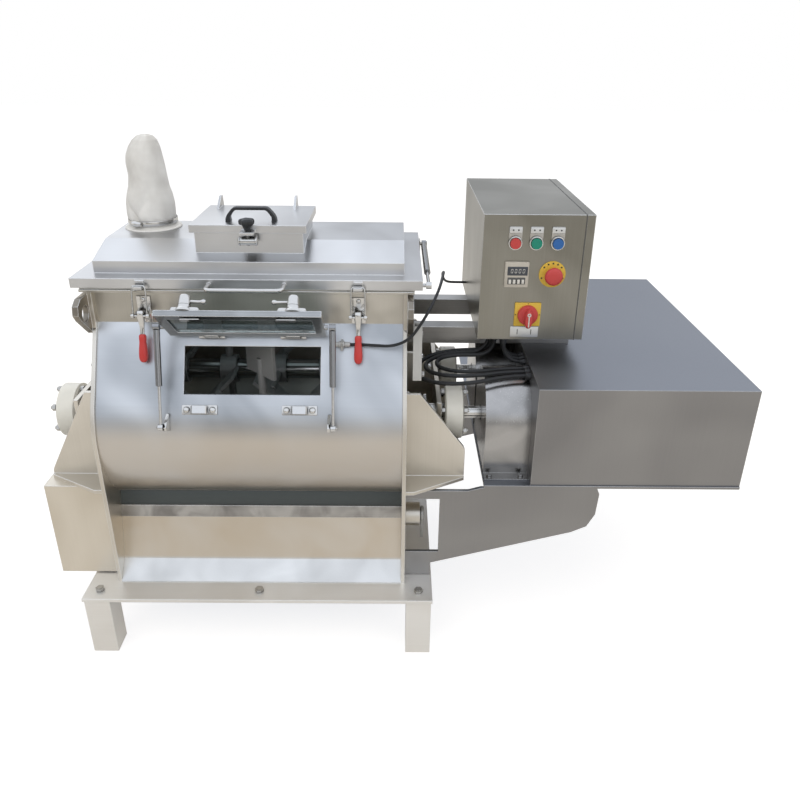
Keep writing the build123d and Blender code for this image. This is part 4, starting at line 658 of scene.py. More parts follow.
@dataclass
class Studio:
    """White room: bright world, three soft lamps, two faint ones for metal, and a pale floor.

    The eye gets a plain white background; only metal mirrors the workshop that stands round it.
    """

    world_light: float = 0.62
    floor_z: float = 0.0
    inner_light: float = 0.06
    inner_tone: tuple[float, float, float] = (0.72, 0.92, 1.0)
    inner_place: tuple[float, float, float] = (0.0, 0.0, 0.79)
    ceiling: tuple = (1.05, 1.12, 1.24, 1)      # what metal sees overhead: cool and bright
    paper_tint: tuple = (0.965, 0.985, 1.03, 1)     # evens out the floor's own warm tone
    paper_glow: float = 0.76       # brings the bare floor up to white
    mirrored_glow: float = 0.5     # share of that glow that metal sees
    # name, place, width, power in watts, and whether metal mirrors it: a mirrored lamp adds its
    # glow to the white room's, so only a faint one does
    lamps: tuple = (
        ("key", (-1.8, -2.8, 3.4), 3.4, 50.0, False),
        ("fill", (2.8, -2.4, 2.6), 3.0, 24.0, False),
        ("back", (0.4, 2.6, 3.2), 3.2, 34.0, False),
        ("key_sheen", (-1.8, -2.8, 3.4), 3.0, 9.0, True),
        ("back_sheen", (-1.6, 2.8, 3.2), 3.0, 7.0, True),
    )

    def build(self) -> None:
        """Builds the world, the lamps and the floor."""
        bpy.context.scene.view_settings.view_transform = "Standard"
        world = bpy.data.worlds.new("white_room")
        bpy.context.scene.world = world
        world.use_nodes = True
        tree = world.node_tree
        tree.nodes.clear()
        rays, seen = sight(tree)
        shown = add(tree, "ShaderNodeMath", {0: seen, 1: rays.outputs["Is Glossy Ray"]},
                    operation="MAXIMUM")
        strength = add(tree, "ShaderNodeMapRange", {
            "Value": shown.outputs[0], "To Min": self.world_light, "To Max": 1.0})
        # the metal sees a workshop: light and dark patches at eye level, a cool bright ceiling
        way = add(tree, "ShaderNodeTexCoord").outputs["Generated"]
        patches = add(tree, "ShaderNodeTexNoise", {"Vector": way, "Scale": 2.6, "Detail": 1.0,
                                                   "Distortion": 0.4})
        walls = ramp(tree, patches.outputs["Fac"], 0.40, 0.60, "#77746F", "#FFFFFF")
        height = add(tree, "ShaderNodeSeparateXYZ", {0: way})
        rise = add(tree, "ShaderNodeMapRange", {"Value": height.outputs["Z"], "From Min": 0.08,
                                                "From Max": 0.42},
                   interpolation_type="SMOOTHSTEP")
        room = add(tree, "ShaderNodeMix", {"Factor": rise.outputs["Result"], 6: walls,
                                           7: self.ceiling}, data_type="RGBA")
        tint = add(tree, "ShaderNodeMix", {
            "Factor": rays.outputs["Is Glossy Ray"], 6: (1, 1, 1, 1), 7: room.outputs[2]},
            data_type="RGBA")
        glow = add(tree, "ShaderNodeBackground", {"Color": tint.outputs[2],
                                                  "Strength": strength.outputs["Result"]})
        add(tree, "ShaderNodeOutputWorld", {"Surface": glow.outputs[0]})
        for name, place, size, power, mirrored in self.lamps:
            data = bpy.data.lights.new(name, "AREA")
            data.size, data.energy = size, power
            lamp = bpy.data.objects.new(name, data)
            lamp.visible_glossy = mirrored
            aim = np.array([0.1, 0.0, 0.5]) - np.array(place)
            aim /= np.linalg.norm(aim)
            side = np.cross(aim, (0, 0, 1.0))
            side /= np.linalg.norm(side)
            up = np.cross(side, aim)
            turn = Matrix([[side[i], up[i], -aim[i]] for i in range(3)]).to_4x4()
            turn.translation = place
            lamp.matrix_world = turn
            bpy.context.scene.collection.objects.link(lamp)
        self.trough_lamp()
        self.floor()
        log.info("studio built")

    def trough_lamp(self) -> None:
        """Faint lamp under the lid: the room's light that finds its way into the trough."""
        data = bpy.data.lights.new("trough_glow", "AREA")
        data.shape, data.size, data.size_y, data.energy = "RECTANGLE", 0.5, 0.2, self.inner_light
        lamp = bpy.data.objects.new("trough_glow", data)
        data.color, lamp.location = self.inner_tone, self.inner_place
        bpy.context.scene.collection.objects.link(lamp)

    def floor(self) -> None:
        """Lays the pale floor: white where it is seen bare, with the object's soft shadow."""
        steps = np.linspace(-14, 14, 2)
        x, y = np.meshgrid(steps, steps)
        mesh = bpy.data.meshes.new("floor")
        mesh.from_pydata(np.stack([x, y, 0 * x + self.floor_z], axis=-1).reshape(-1, 3).tolist(),
                         [], [[0, 1, 3, 2]])
        material, tree, shader = blank("pale paper floor")
        shader.inputs["Base Color"].default_value = colour("#B9B3A8")
        shader.inputs["Roughness"].default_value = 0.9
        rays, seen = sight(tree)
        # seen bare it glows up to white; metal shows it a shade dimmer, as a floor is
        glow = add(tree, "ShaderNodeMath", {
            0: rays.outputs["Is Glossy Ray"], 1: self.mirrored_glow, 2: seen},
            operation="MULTIPLY_ADD")
        shader.inputs["Emission Color"].default_value = self.paper_tint
        strength = add(tree, "ShaderNodeMapRange", {"Value": glow.outputs[0],
                                                    "To Min": 0.0, "To Max": self.paper_glow})
        tree.links.new(strength.outputs["Result"], shader.inputs["Emission Strength"])
        mesh.materials.append(material)
        floor = bpy.data.objects.new("floor", mesh)
        bpy.context.scene.collection.objects.link(floor)


@dataclass
class CadDress:
    """Finishes of the CAD pieces that keep their own shape."""

    finishes: Finishes
    plan: dict[str, list[str]] = field(default_factory=lambda: {
        "trough": ["trough"],
        "plate": ["left_end_plate", "right_end_plate", "bearing_brackets"],
        "case": ["actuator_cover"],
        "lid": ["lid", "hatch_cover"],
        "box": ["control_box", "control_box_door", "control_box_rails"],
        "cover": ["drive_cover", "drive_support"],
        "guard": ["coupling_guards"],
        "frame": ["base_frame"],
        "skirt": ["discharge_skirts"],
        "door": ["window_frame"],
        "chrome": ["lid_strut_rod", "window_strut_rods"],
        "tube": ["window_strut_tubes", "lid_strut_tube"],
        "bright": ["front_shaft", "rear_shaft", "left_latch_lever", "right_latch_lever",
                   "left_latch_loop", "right_latch_loop", "window_latch_left",
                   "window_latch_right", "trough_fittings", "shaft_glands"],
        "dull": ["front_paddles", "rear_paddles", "front_discharge_flap",
                 "rear_discharge_flap", "safety_sensors"],
        "zinc": ["fasteners", "vent_collar"],
        "enamel": ["bearing_housings"],
        "drive": ["drive_unit", "flap_actuators", "front_coupling", "rear_coupling"],
        "black": ["hatch_handle", "hatch_knob", "panel_fittings"],
        "stop": ["stop_button", "emergency_stop", "isolator_handle"],
        "green": ["start_button"],
        "blue": ["discharge_button"],
        "glass": ["window_glass"],
        "silicone": ["lid_gasket"],
        "cloth": ["vent_bag"],
        "cable": ["control_cable_1", "control_cable_2", "control_cable_3", "control_cable_4",
                  "control_cable_5", "control_cable_6", "sensor_cable"],
    })

    def build(self) -> None:
        """Gives each CAD piece its finish."""
        for finish, names in self.plan.items():
            material = getattr(self.finishes, finish)
            for name in names:
                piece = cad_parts[name]
                if not piece.material_slots:
                    piece.data.materials.append(material)
                for slot in piece.material_slots:
                    slot.material = material
                log.info("dressed %s", name)
        missing = set(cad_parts) - {n for names in self.plan.values() for n in names}
        if missing:
            log.warning("no finish for %s", sorted(missing))


@dataclass
class Assembly:
    """A group of pieces that share the mixer's finishes. All sizes are millimetres."""

    finishes: Finishes

    def put(self, name: str, rings: np.ndarray, material: bpy.types.Material,
            body: str = BODY, stands_for: str = "", slot: str = "", capped: bool = True,
            uv: np.ndarray | None = None, smooth_deg: float = 35.0) -> bpy.types.Object:
        """Skins a piece, makes it ride and hides the CAD node that it stands for.

        Args:
            name: the piece's name.
            rings: its rings.
            material: its finish.
            body: the CAD body that it moves with.
            stands_for: CAD node that it replaces, if any.
            slot: a material slot's name; not used.
            capped: closes both ends with a face.
            uv: texture place of each point.
            smooth_deg: edges sharper than this stay crisp.

        Returns:
            The object.
        """
        piece = rings_mesh(name, rings, material, capped, uv, smooth_deg)
        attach(piece, body)
        if stands_for:
            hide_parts(stands_for)
        log.info("%s built", name)
        return piece

    def screw(self, name: str, place: tuple[float, float, float],
              axis: tuple[float, float, float], radius: float = 5.0, height: float = 3.0,
              body: str = BODY) -> None:
        """Adds a domed screw head: a low cap with a rolled rim.

        Args:
            name: the piece's name.
            place: middle of the head's seat.
            axis: direction that it points in.
            radius: of the head.
            height: of the dome.
            body: the CAD body that it moves with.
        """
        profile = [(radius * 0.96, -0.3), (radius, height * 0.25), (radius * 0.93, height * 0.55),
                   (radius * 0.72, height * 0.82), (radius * 0.4, height * 0.96), (0.0, height)]
        self.put(name, turned(profile, place, axis, 20), self.finishes.bright, body,
                 slot="polished_steel", smooth_deg=50)


@dataclass
class TwoTone(Assembly):
    """CAD pieces whose parts have different finishes, some of them painted reflection: a copy of
    each, dressed by region.
    """

    # node, body, finish of the rest, then finish and region; a region is x, y and z limits
    plan: tuple = (
        # the trough's upright band takes its painted floor reflection
        ("trough", BODY, "trough", (("band", (-400, -300, 727.5, 400, 300, 900)),)),
        # the lifting eyes take a darker copy of the plate: painted reflection
        ("left_end_plate", BODY, "plate", (("eye", (-400, -330, 690, -300, -205.5, 800)),
                                           ("eye", (-400, 205.5, 690, -300, 330, 800)))),
        ("right_end_plate", BODY, "plate", (("eye", (300, -330, 690, 400, -205.5, 800)),
                                            ("eye", (300, 205.5, 690, 400, 330, 800)))),
        ("lid", "lid_body", "lid", (("bright", (-90, -250, 790, 90, -209.5, 830)),
                                    ("bright", (-16, -170, 870, 16, -145, 900)))),
        ("control_box_rails", BODY, "rail", (("black", (570, -180, 560, 590.5, -20, 636)),
                                             ("black", (500, -95, 640, 550, -15, 657.5)))),
    )
    keeper: tuple = (-150, -300, 540, 150, -200, 600)

    def build(self) -> None:
        """Makes the copies."""
        for node, body, rest, parts in self.plan:
            self.copy(node, body, rest, parts)
        self.copy("trough_fittings", BODY, "bright", (), self.keeper)

    def copy(self, node: str, body: str, rest: str, parts: tuple,
             left_out: tuple | None = None) -> None:
        """Copies a CAD piece and gives each face its region's finish; merges points when it cuts
        some.

        Args:
            node: the CAD piece.
            body: the CAD body that it moves with.
            rest: finish outside every region.
            parts: finish and region pairs; limits are x, y, z low, then x, y, z high.
            left_out: region whose faces new pieces stand for, if any.
        """
        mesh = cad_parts[node].data.copy()
        if left_out:
            work = bmesh.new()
            work.from_mesh(mesh)
            bmesh.ops.remove_doubles(work, verts=work.verts, dist=1e-6)
            spots = np.array([v.co for v in work.verts]) / MM
            inside = (spots > left_out[:3]).all(axis=1) & (spots < left_out[3:]).all(axis=1)
            gone = [v for v, flag in zip(work.verts, inside) if flag]
            bmesh.ops.delete(work, geom=gone, context="VERTS")
            work.to_mesh(mesh)
            work.free()
            mesh.shade_smooth()
            mesh.set_sharp_from_angle(angle=math.radians(30))
        mesh.materials.clear()
        mesh.materials.append(getattr(self.finishes, rest))
        centres = np.zeros(len(mesh.polygons) * 3)
        mesh.polygons.foreach_get("center", centres)
        centres = centres.reshape(-1, 3) / MM
        index = np.zeros(len(mesh.polygons), dtype=np.int32)
        for n, (finish, limits) in enumerate(parts, 1):
            mesh.materials.append(getattr(self.finishes, finish))
            inside = (centres > limits[:3]).all(axis=1) & (centres < limits[3:]).all(axis=1)
            index[inside] = n
        mesh.polygons.foreach_set("material_index", index)
        piece = bpy.data.objects.new(f"{node}_dressed", mesh)
        bpy.context.scene.collection.objects.link(piece)
        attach(piece, body)
        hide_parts(node)
        log.info("%s dressed by region", node)


@dataclass
class SkirtStrips(Assembly):
    """Dark strip painted as the shadow in the recess under the trough, and the pressed lip below
    it, toned darker as painted shade, on each skirt.
    """

    half: float = 312.8
    top: tuple[float, float] = (224.6, 361.0)      # a point on the skirt's upper face
    slope: float = 46.4 / 172

    def build(self) -> None:
        """Builds the strips on the front and the back skirt."""
        for side, name in ((-1, "front"), (1, "back")):
            # painted shadow in the recess under the shell, then the lip in painted shade
            self.strip(f"{name}_recess_painted_shadow", side, 345.0, 313.0, 0.8, self.finishes.seal)
            self.strip(f"{name}_skirt_lip", side, 313.0, 285.0, 2.6, self.finishes.lip)

    def strip(self, name: str, side: int, high: float, low: float, out: float,
              material: bpy.types.Material) -> None:
        """One strip along the skirt: a flat bar between two heights.

        Args:
            name: the piece's name.
            side: -1 at the front, 1 at the back.
            high: its upper height.
            low: its lower height.
            out: its thickness.
            material: its finish.
        """
        z = np.array([high, high - 1.2, low + 1.2, low, low, high])
        off = np.array([0.1, out, out, 0.1, 0.05, 0.05])
        y = side * (self.top[0] + (self.top[1] - z) * self.slope + off)
        ends = np.array([-self.half, self.half])
        rings = np.stack(np.broadcast_arrays(ends[:, None], y[None], z[None]), axis=-1) * MM
        self.put(name, rings, material)


@dataclass
class BoxSeal(Assembly):
    """Dark rubber seal in the gap between the control box and its door."""

    x: tuple[float, float] = (690.4, 692.4)
    y: tuple[float, float] = (-93.5, 345.5)
    z: tuple[float, float] = (656.5, 932.5)

    def build(self) -> None:
        """Builds the seal: a square loop, carried round from its outer to its inner edge."""
        def loop(x: float, inset: float) -> list[tuple[float, float, float]]:
            """Four corners of the loop at one x, drawn in by an inset."""
            y0, y1 = self.y[0] + inset, self.y[1] - inset
            z0, z1 = self.z[0] + inset, self.z[1] - inset
            return [(x, y0, z0), (x, y1, z0), (x, y1, z1), (x, y0, z1)]

        near, far = self.x
        rings = np.array([loop(near, 0), loop(far, 0), loop(far, 5), loop(near, 5),
                          loop(near, 0)]) * MM
        self.put("control_box_seal", rings, self.finishes.gasket, capped=False)


@dataclass
class VentTop(Assembly):
    """Filter sock on the vent with its hem, its worm clamp and the base flange."""

    centre: tuple[float, float] = (-244.0, 30.0)
    roof: float = 873.0
    # height, centre in X, half width, half depth, read up the sock
    stations: tuple = (
        (880, -245.0, 47.0, 46.6), (892, -245.5, 50.6, 49.5), (905, -246.0, 52.0, 50.0),
        (928, -245.5, 52.0, 48.0), (946, -245.0, 49.5, 45.5), (962, -243.0, 43.5, 43.0),
        (985, -242.5, 40.5, 41.0), (1010, -245.5, 40.5, 38.0), (1026, -246.0, 38.6, 35.0),
        (1044, -243.5, 33.5, 30.0), (1058, -240.5, 26.0, 23.0), (1066, -239.0, 17.0, 14.0),
        (1068.6, -238.6, 8.0, 6.0), (1069, -238.5, 0.2, 0.2),
    )

    def build(self) -> None:
        """Builds the sock, the clamp and the flange."""
        self.sock()
        x, y = self.centre
        flange = [(61.0, 0.2), (61.2, 2.0), (60.0, 3.6), (56.0, 4.6), (51.5, 6.2), (49.0, 8.4),
                  (48.6, 12.0), (43.5, 12.0), (43.0, 0.2), (61.0, 0.2)]
        self.put("vent_flange", turned(flange, (x, y, self.roof), steps=96), self.finishes.hem,
                 "lid_body", "vent_collar", capped=False)
        band = [(51.6, 11.0), (53.0, 11.0), (53.5, 12.5), (53.5, 19.5), (53.0, 21.0),
                (51.6, 21.0), (51.6, 11.0)]
        self.put("vent_clamp", turned(band, (x, y, self.roof), steps=96), self.finishes.bright,
                 "lid_body", slot="polished_steel", capped=False)
        # worm housing: a short oval barrel along the band with its slotted screw
        barrel = [(0.0, -12.0), (4.5, -11.5), (5.2, -9.0), (6.4, -6.0), (6.4, 6.0), (5.2, 9.0),
                  (4.5, 13.0), (0.0, 13.5)]
        angle = math.radians(-112)
        spot = (x + 55.5 * math.cos(angle), y + 55.5 * math.sin(angle), self.roof + 16)
        self.put("clamp_worm", turned(barrel, spot, (-math.sin(angle), math.cos(angle), 0), 20),
                 self.finishes.bright, "lid_body", slot="polished_steel")

    def sock(self) -> None:
        """Cloth sleeve that leans, with a deep slanting fold at its left and slack pleats."""
        table = np.array(self.stations, dtype=float)
        rows = np.linspace(0, len(table) - 1, 150)
        steps = np.arange(len(table))
        z, cx, a, b = (np.interp(rows, steps, table[:, k]) for k in range(4))
        kernel = np.array([1, 2, 3, 4, 3, 2, 1]) / 16
        for line in (cx, a, b):
            line[3:-3] = np.convolve(line, kernel, mode="same")[3:-3]
        turn = np.linspace(0, 2 * np.pi, 160, endpoint=False)
        t, h = np.meshgrid(turn, z)
        lift = (h - 880) / 190

        def crease(angle: np.ndarray, width: float, low: float, high: float,
                   soft: float) -> np.ndarray:
            """A sharp furrow that follows an angle between two heights.

            Args:
                angle: where it runs, for each height.
                width: its half width in radians.
                low: height where it starts, as a share of the sock.
                high: height where it ends.
                soft: how gradually it starts and ends.

            Returns:
                Its depth from 0 to 1.
            """
            away = np.angle(np.exp(1j * (t - angle)))
            ends = 1 / (1 + np.exp(-(lift - low) / soft)) / (1 + np.exp((lift - high) / soft))
            return np.exp(-np.abs(away / width) ** 1.5) * ends

        # pleats fan up from the clamp; two slack folds run across the front; one deep fold
        # climbs from the clamp to the left edge
        pleats = 0.022 * np.sin(13 * t + 2.0 * lift) * np.exp(-6.0 * lift)
        pleats += 0.012 * np.sin(7 * t - 6 * lift + 1.3) * np.exp(-2.0 * lift)
        deep = 0.15 * crease(-1.72 - 3.1 * np.clip(lift, 0, 0.42), 0.16, 0.03, 0.36, 0.03)
        slack = 0.07 * crease(-1.75 + 1.9 * (lift - 0.22), 0.30, 0.16, 0.44, 0.04)
        slack += 0.05 * crease(-1.85 + 3.0 * (lift - 0.16), 0.20, 0.10, 0.30, 0.03)
        soft = 0.020 * np.sin(3 * t + 8 * lift) * np.sin(np.pi * np.clip(lift, 0, 1))
        size = 1 + pleats - deep - slack + soft
        size[:3] = 1.0
        x = cx[:, None] + a[:, None] * size * np.cos(t)
        y = self.centre[1] + b[:, None] * size * np.sin(t)
        uv = np.stack([t / (2 * np.pi) * 0.31, (h - 880) * MM], axis=-1)
        self.put("filter_sock", np.stack([x, y, h], axis=-1) * MM, self.finishes.cloth,
                 "lid_body", "vent_bag", "filter_cloth", uv=uv, smooth_deg=60)


@dataclass
class HatchFittings(Assembly):
    """Bridge handle, star knob with its screw, and the caps of the cross pin."""

    top: float = 916.0
    screw_y: float = -155.0
    handle_y: float = -102.0

    def build(self) -> None:
        """Builds the handle, the knob and the pin's caps."""
        f = self.finishes
        self.handle()
        star = [(9.0, 18.0), (13.0, 18.8), (14.4, 20.4), (14.7, 25.0), (14.2, 27.6),
                (12.0, 29.8), (7.5, 31.0), (6.8, 30.2), (0.0, 29.8)]
        foot = (0, self.screw_y, self.top - 14.7)
        self.put("hatch_star_knob", turned(star, foot, steps=80, lobes=5, wave=0.13), f.black,
                 "hatch_screw", "hatch_knob", "black_plastic", smooth_deg=40)
        hub = [(4.6, 7.2), (5.8, 7.6), (6.2, 10.0), (8.4, 14.0), (9.4, 18.2), (0.0, 18.4)]
        self.put("hatch_knob_hub", turned(hub, foot, steps=40), f.black, "hatch_screw",
                 slot="black_plastic")
        # the screw: its thread is a radius that swings to and fro as it goes down
        drop = np.linspace(7.0, -23.0, 121)
        swing = 3.75 + 0.35 * np.sin(2 * np.pi * drop / 1.5)
        self.put("hatch_screw_thread", turned(list(zip(swing, drop)), foot, steps=24), f.bright,
                 "hatch_screw", slot="polished_steel", smooth_deg=70)
        for n, side in enumerate((-1, 1), 1):
            cap = [(8.0, 0.0), (9.2, 0.4), (9.2, 2.2), (7.6, 4.0), (4.0, 5.0), (0.0, 5.2)]
            self.put(f"hatch_pin_cap_{n}",
                     turned(cap, (side * 15.1, self.screw_y, self.top - 29), (side, 0, 0), 32),
                     f.bright, "lid_body", slot="polished_steel")

    def handle(self) -> None:
        """Moulded bridge: feet, sloping shoulders and a flat grip, as one swept bar."""
        line = np.array([(-47, 0), (-47, 6), (-45.5, 11), (-42, 16), (-37, 22), (-33, 25),
                         (-29, 26), (29, 26), (33, 25), (37, 22), (42, 16), (45.5, 11), (47, 6),
                         (47, 0)], dtype=float)
        path = np.stack([line[:, 0], 0 * line[:, 0] + self.handle_y, self.top + line[:, 1]], 1)
        wide = np.array([10, 9.5, 9, 8.8, 8.6, 8.4, 8.2, 8.2, 8.4, 8.6, 8.8, 9, 9.5, 10])
        deep = np.array([5.4, 4.6, 3.8, 3.5, 3.3, 3.2, 3.0, 3.0, 3.2, 3.3, 3.5, 3.8, 4.6, 5.4])
        self.put("hatch_bridge_handle", swept(path, wide, deep, (0, 1, 0), 0.25),
                 self.finishes.black, "hatch", "hatch_handle", "black_plastic")


@dataclass
class OperatorPanel(Assembly):
    """Fittings on the front of the control box; its face is at y."""

    y: float = -93.1
    label_x: tuple[float, ...] = (546.0, 590.0, 635.0)
    button_z: float = 873.0
    timer: tuple[float, float] = (553.5, 805.5)
    stop: tuple[float, float] = (630.0, 806.0)
    isolator: tuple[float, float] = (584.0, 716.0)

    def plate(self, name: str, x: float, z: float, width: float, height: float, lift: float,
              depth: float, material: bpy.types.Material, corner: float = 1.5,
              edge: float = 0.4, body: str = BODY) -> bpy.types.Object:
        """Puts a small plate on the panel.

        Args:
            name: the piece's name.
            x: its middle.
            z: its middle.
            width: size along X.
            height: size along Z.
            lift: its back off the panel.
            depth: its thickness.
            material: its finish.
            corner: corner radius.
            edge: rounding of its front rim.
            body: the CAD body that it moves with.

        Returns:
            The object.
        """
        return self.put(name, plate_rings((x, self.y - lift, z), width, height, depth, corner,
                                          edge), material, body)

    def build(self) -> None:
        """Builds every fitting of the panel."""
        f = self.finishes
        for n, x in enumerate(self.label_x, 1):
            self.plate(f"label_holder_{n}", x, 893, 28, 29, 0.0, 1.6, f.zinc, 3.0)
            self.plate(f"label_plate_{n}", x, 900, 27, 12, 1.5, 1.2, f.silver)
            for k, side in enumerate((-1, 1), 1):
                self.plate(f"label_mark_{n}_{k}", x + side * 5.5, 900, 3.4, 3.4, 2.6, 0.4, f.ink,
                           1.6, 0.1)
            self.put(f"button_bezel_{n}", self.bezel(x, self.button_z, 11.2, 15.0, 6.0),
                     f.bright, capped=False)
        self.timer_set()
        self.put("stop_ring", self.bezel(*self.stop, 11.2, 28.5, 2.5, 0.8), f.yellow,
                 capped=False)
        for n, turn in enumerate(np.radians([40, 65, 90, 115, 140, 200, 340]), 1):
            self.plate(f"stop_mark_{n}", self.stop[0] + 24 * math.cos(turn),
                       self.stop[1] + 24 * math.sin(turn), 3.6, 3.6, 2.4, 0.3, f.ink, 0.8, 0.1)
        self.plate("isolator_plate", *self.isolator, 57, 53, 0.0, 4.0, f.yellow, 2.0, 0.8)
        for n, (dx, dz) in enumerate(((-26.2, 0), (26.2, 0), (0, 25)), 1):
            self.plate(f"isolator_mark_{n}", self.isolator[0] + dx, self.isolator[1] + dz,
                       3 if dx else 2.0, 2.0 if dx else 2.4, 3.9, 0.3, f.ink, 0.6, 0.1)
        self.plate("isolator_label", 580, 675.5, 62, 25, 0.0, 1.6, f.silver)
        for n, dx in enumerate((-15, 15), 1):
            self.plate(f"isolator_label_mark_{n}", 580 + dx, 675.5, 1.6, 12, 1.5, 0.3, f.ink,
                       0.6, 0.1)
        self.stop_head()
        self.handle()

    def timer_set(self) -> None:
        """Timer: pale case, smoked display with four noughts, and a row of keys."""
        f = self.finishes
        x, z = self.timer
        case = self.plate("timer_case", x, z, 51, 55, 0.0, 6.5, f.timer, 2.0, 1.0)
        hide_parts("panel_fittings")
        self.plate("timer_screen", x + 1.5, z + 8.5, 43, 19, 6.2, 0.9, f.screen, 1.0, 0.2)
        self.plate("timer_keypad", x, z - 13, 38, 15, 6.2, 0.5, f.gasket, 1.0, 0.2)
        for n in range(4):
            self.digit(x - 10.5 + n * 8.4, z + 8.5, n)
            self.plate(f"timer_key_{n + 1}", x - 13.8 + n * 9.2, z - 14.5, 5.4, 9.0, 6.6, 2.2,
                       f.white, 1.0, 0.5)

    def bezel(self, x: float, z: float, inner: float, outer: float, depth: float,
              edge: float = 1.6) -> np.ndarray:
        """Rings of a round bezel: a rounded washer shape turned about the button's axis."""
        return turned([(inner, 0.0), (outer, 0.0), (outer, depth - edge),
                       (outer - edge * 0.3, depth - edge * 0.3), (outer - edge, depth),
                       (inner + 0.8, depth), (inner, depth - 0.8), (inner, 0.0)],
                      (x, self.y, z), (0, -1, 0))

    def digit(self, x: float, z: float, n: int) -> None:
        """Draws one nought of the timer's display, as a rounded ring that leans a little."""
        turn = np.linspace(0, 2 * np.pi, 24, endpoint=False)
        wide = 2.4 * np.sign(np.cos(turn)) * np.abs(np.cos(turn)) ** 0.5
        high = 4.4 * np.sign(np.sin(turn)) * np.abs(np.sin(turn)) ** 0.5
        scale = np.array([0.72, 1.0, 1.0, 0.72, 0.72])[:, None]
        out = np.array([0.0, 0.0, 0.35, 0.35, 0.0])[:, None] + 0 * turn
        ring = np.stack([x + scale * wide + 0.12 * high, self.y - 7.0 - out,
                         z + (scale * 0.9 + 0.1) * high], axis=-1) * MM
        self.put(f"timer_digit_{n + 1}", ring, self.finishes.white, capped=False)

    def stop_head(self) -> None:
        """Mushroom head: a low dome with a rolled rim on its stem."""
        profile = [(10.8, -6.0), (10.8, 12.0), (16.0, 14.0), (18.6, 17.0), (19.2, 19.5),
                   (18.6, 22.5), (16.6, 24.6), (13.0, 26.0), (7.0, 27.0), (0.0, 27.4)]
        self.put("stop_mushroom", turned(profile, (self.stop[0], self.y, self.stop[1]),
                                         (0, -1, 0)),
                 self.finishes.stop, "emergency_push", "emergency_stop", "red_plastic")

    def handle(self) -> None:
        """Isolator handle: a low dial, a tapering grip and its white pointer."""
        x, z = self.isolator
        self.put("isolator_dial", turned(
            [(22.0, 4.2), (22.0, 10.0), (21.0, 12.0), (18.0, 13.0), (0.0, 13.2)],
            (x, self.y, z), (0, -1, 0)), self.finishes.stop, "isolator", "isolator_handle",
            "red_plastic")
        # grip: an oval whose width grows downwards and whose top narrows
        turn = np.linspace(0, 2 * np.pi, 40, endpoint=False)
        down = np.sin(turn)
        wide = (8.5 - 2.5 * down) * np.cos(turn)
        high = np.where(down > 0, 17.0, 25.0) * down
        scale = np.array([1.0, 1.0, 0.93, 0.8, 0.6])[:, None]
        out = np.array([12.0, 24.0, 27.0, 28.6, 29.2])[:, None] + 0 * turn
        rings = np.stack([x + scale * wide, self.y - out, z + scale * high], axis=-1) * MM
        self.put("isolator_grip", rings, self.finishes.stop, "isolator")
        self.plate("isolator_pointer", x, z - 7, 2.6, 27, 28.9, 0.9, self.finishes.white, 1.2,
                   0.3, "isolator")
        self.put("isolator_pointer_eye", turned(
            [(2.0, 0.0), (4.2, 0.0), (4.2, 1.0), (3.6, 1.5), (2.4, 1.5), (2.0, 1.0), (2.0, 0.0)],
            (x, self.y - 28.9, z + 7), (0, -1, 0), 24), self.finishes.white, "isolator",
            capped=False)


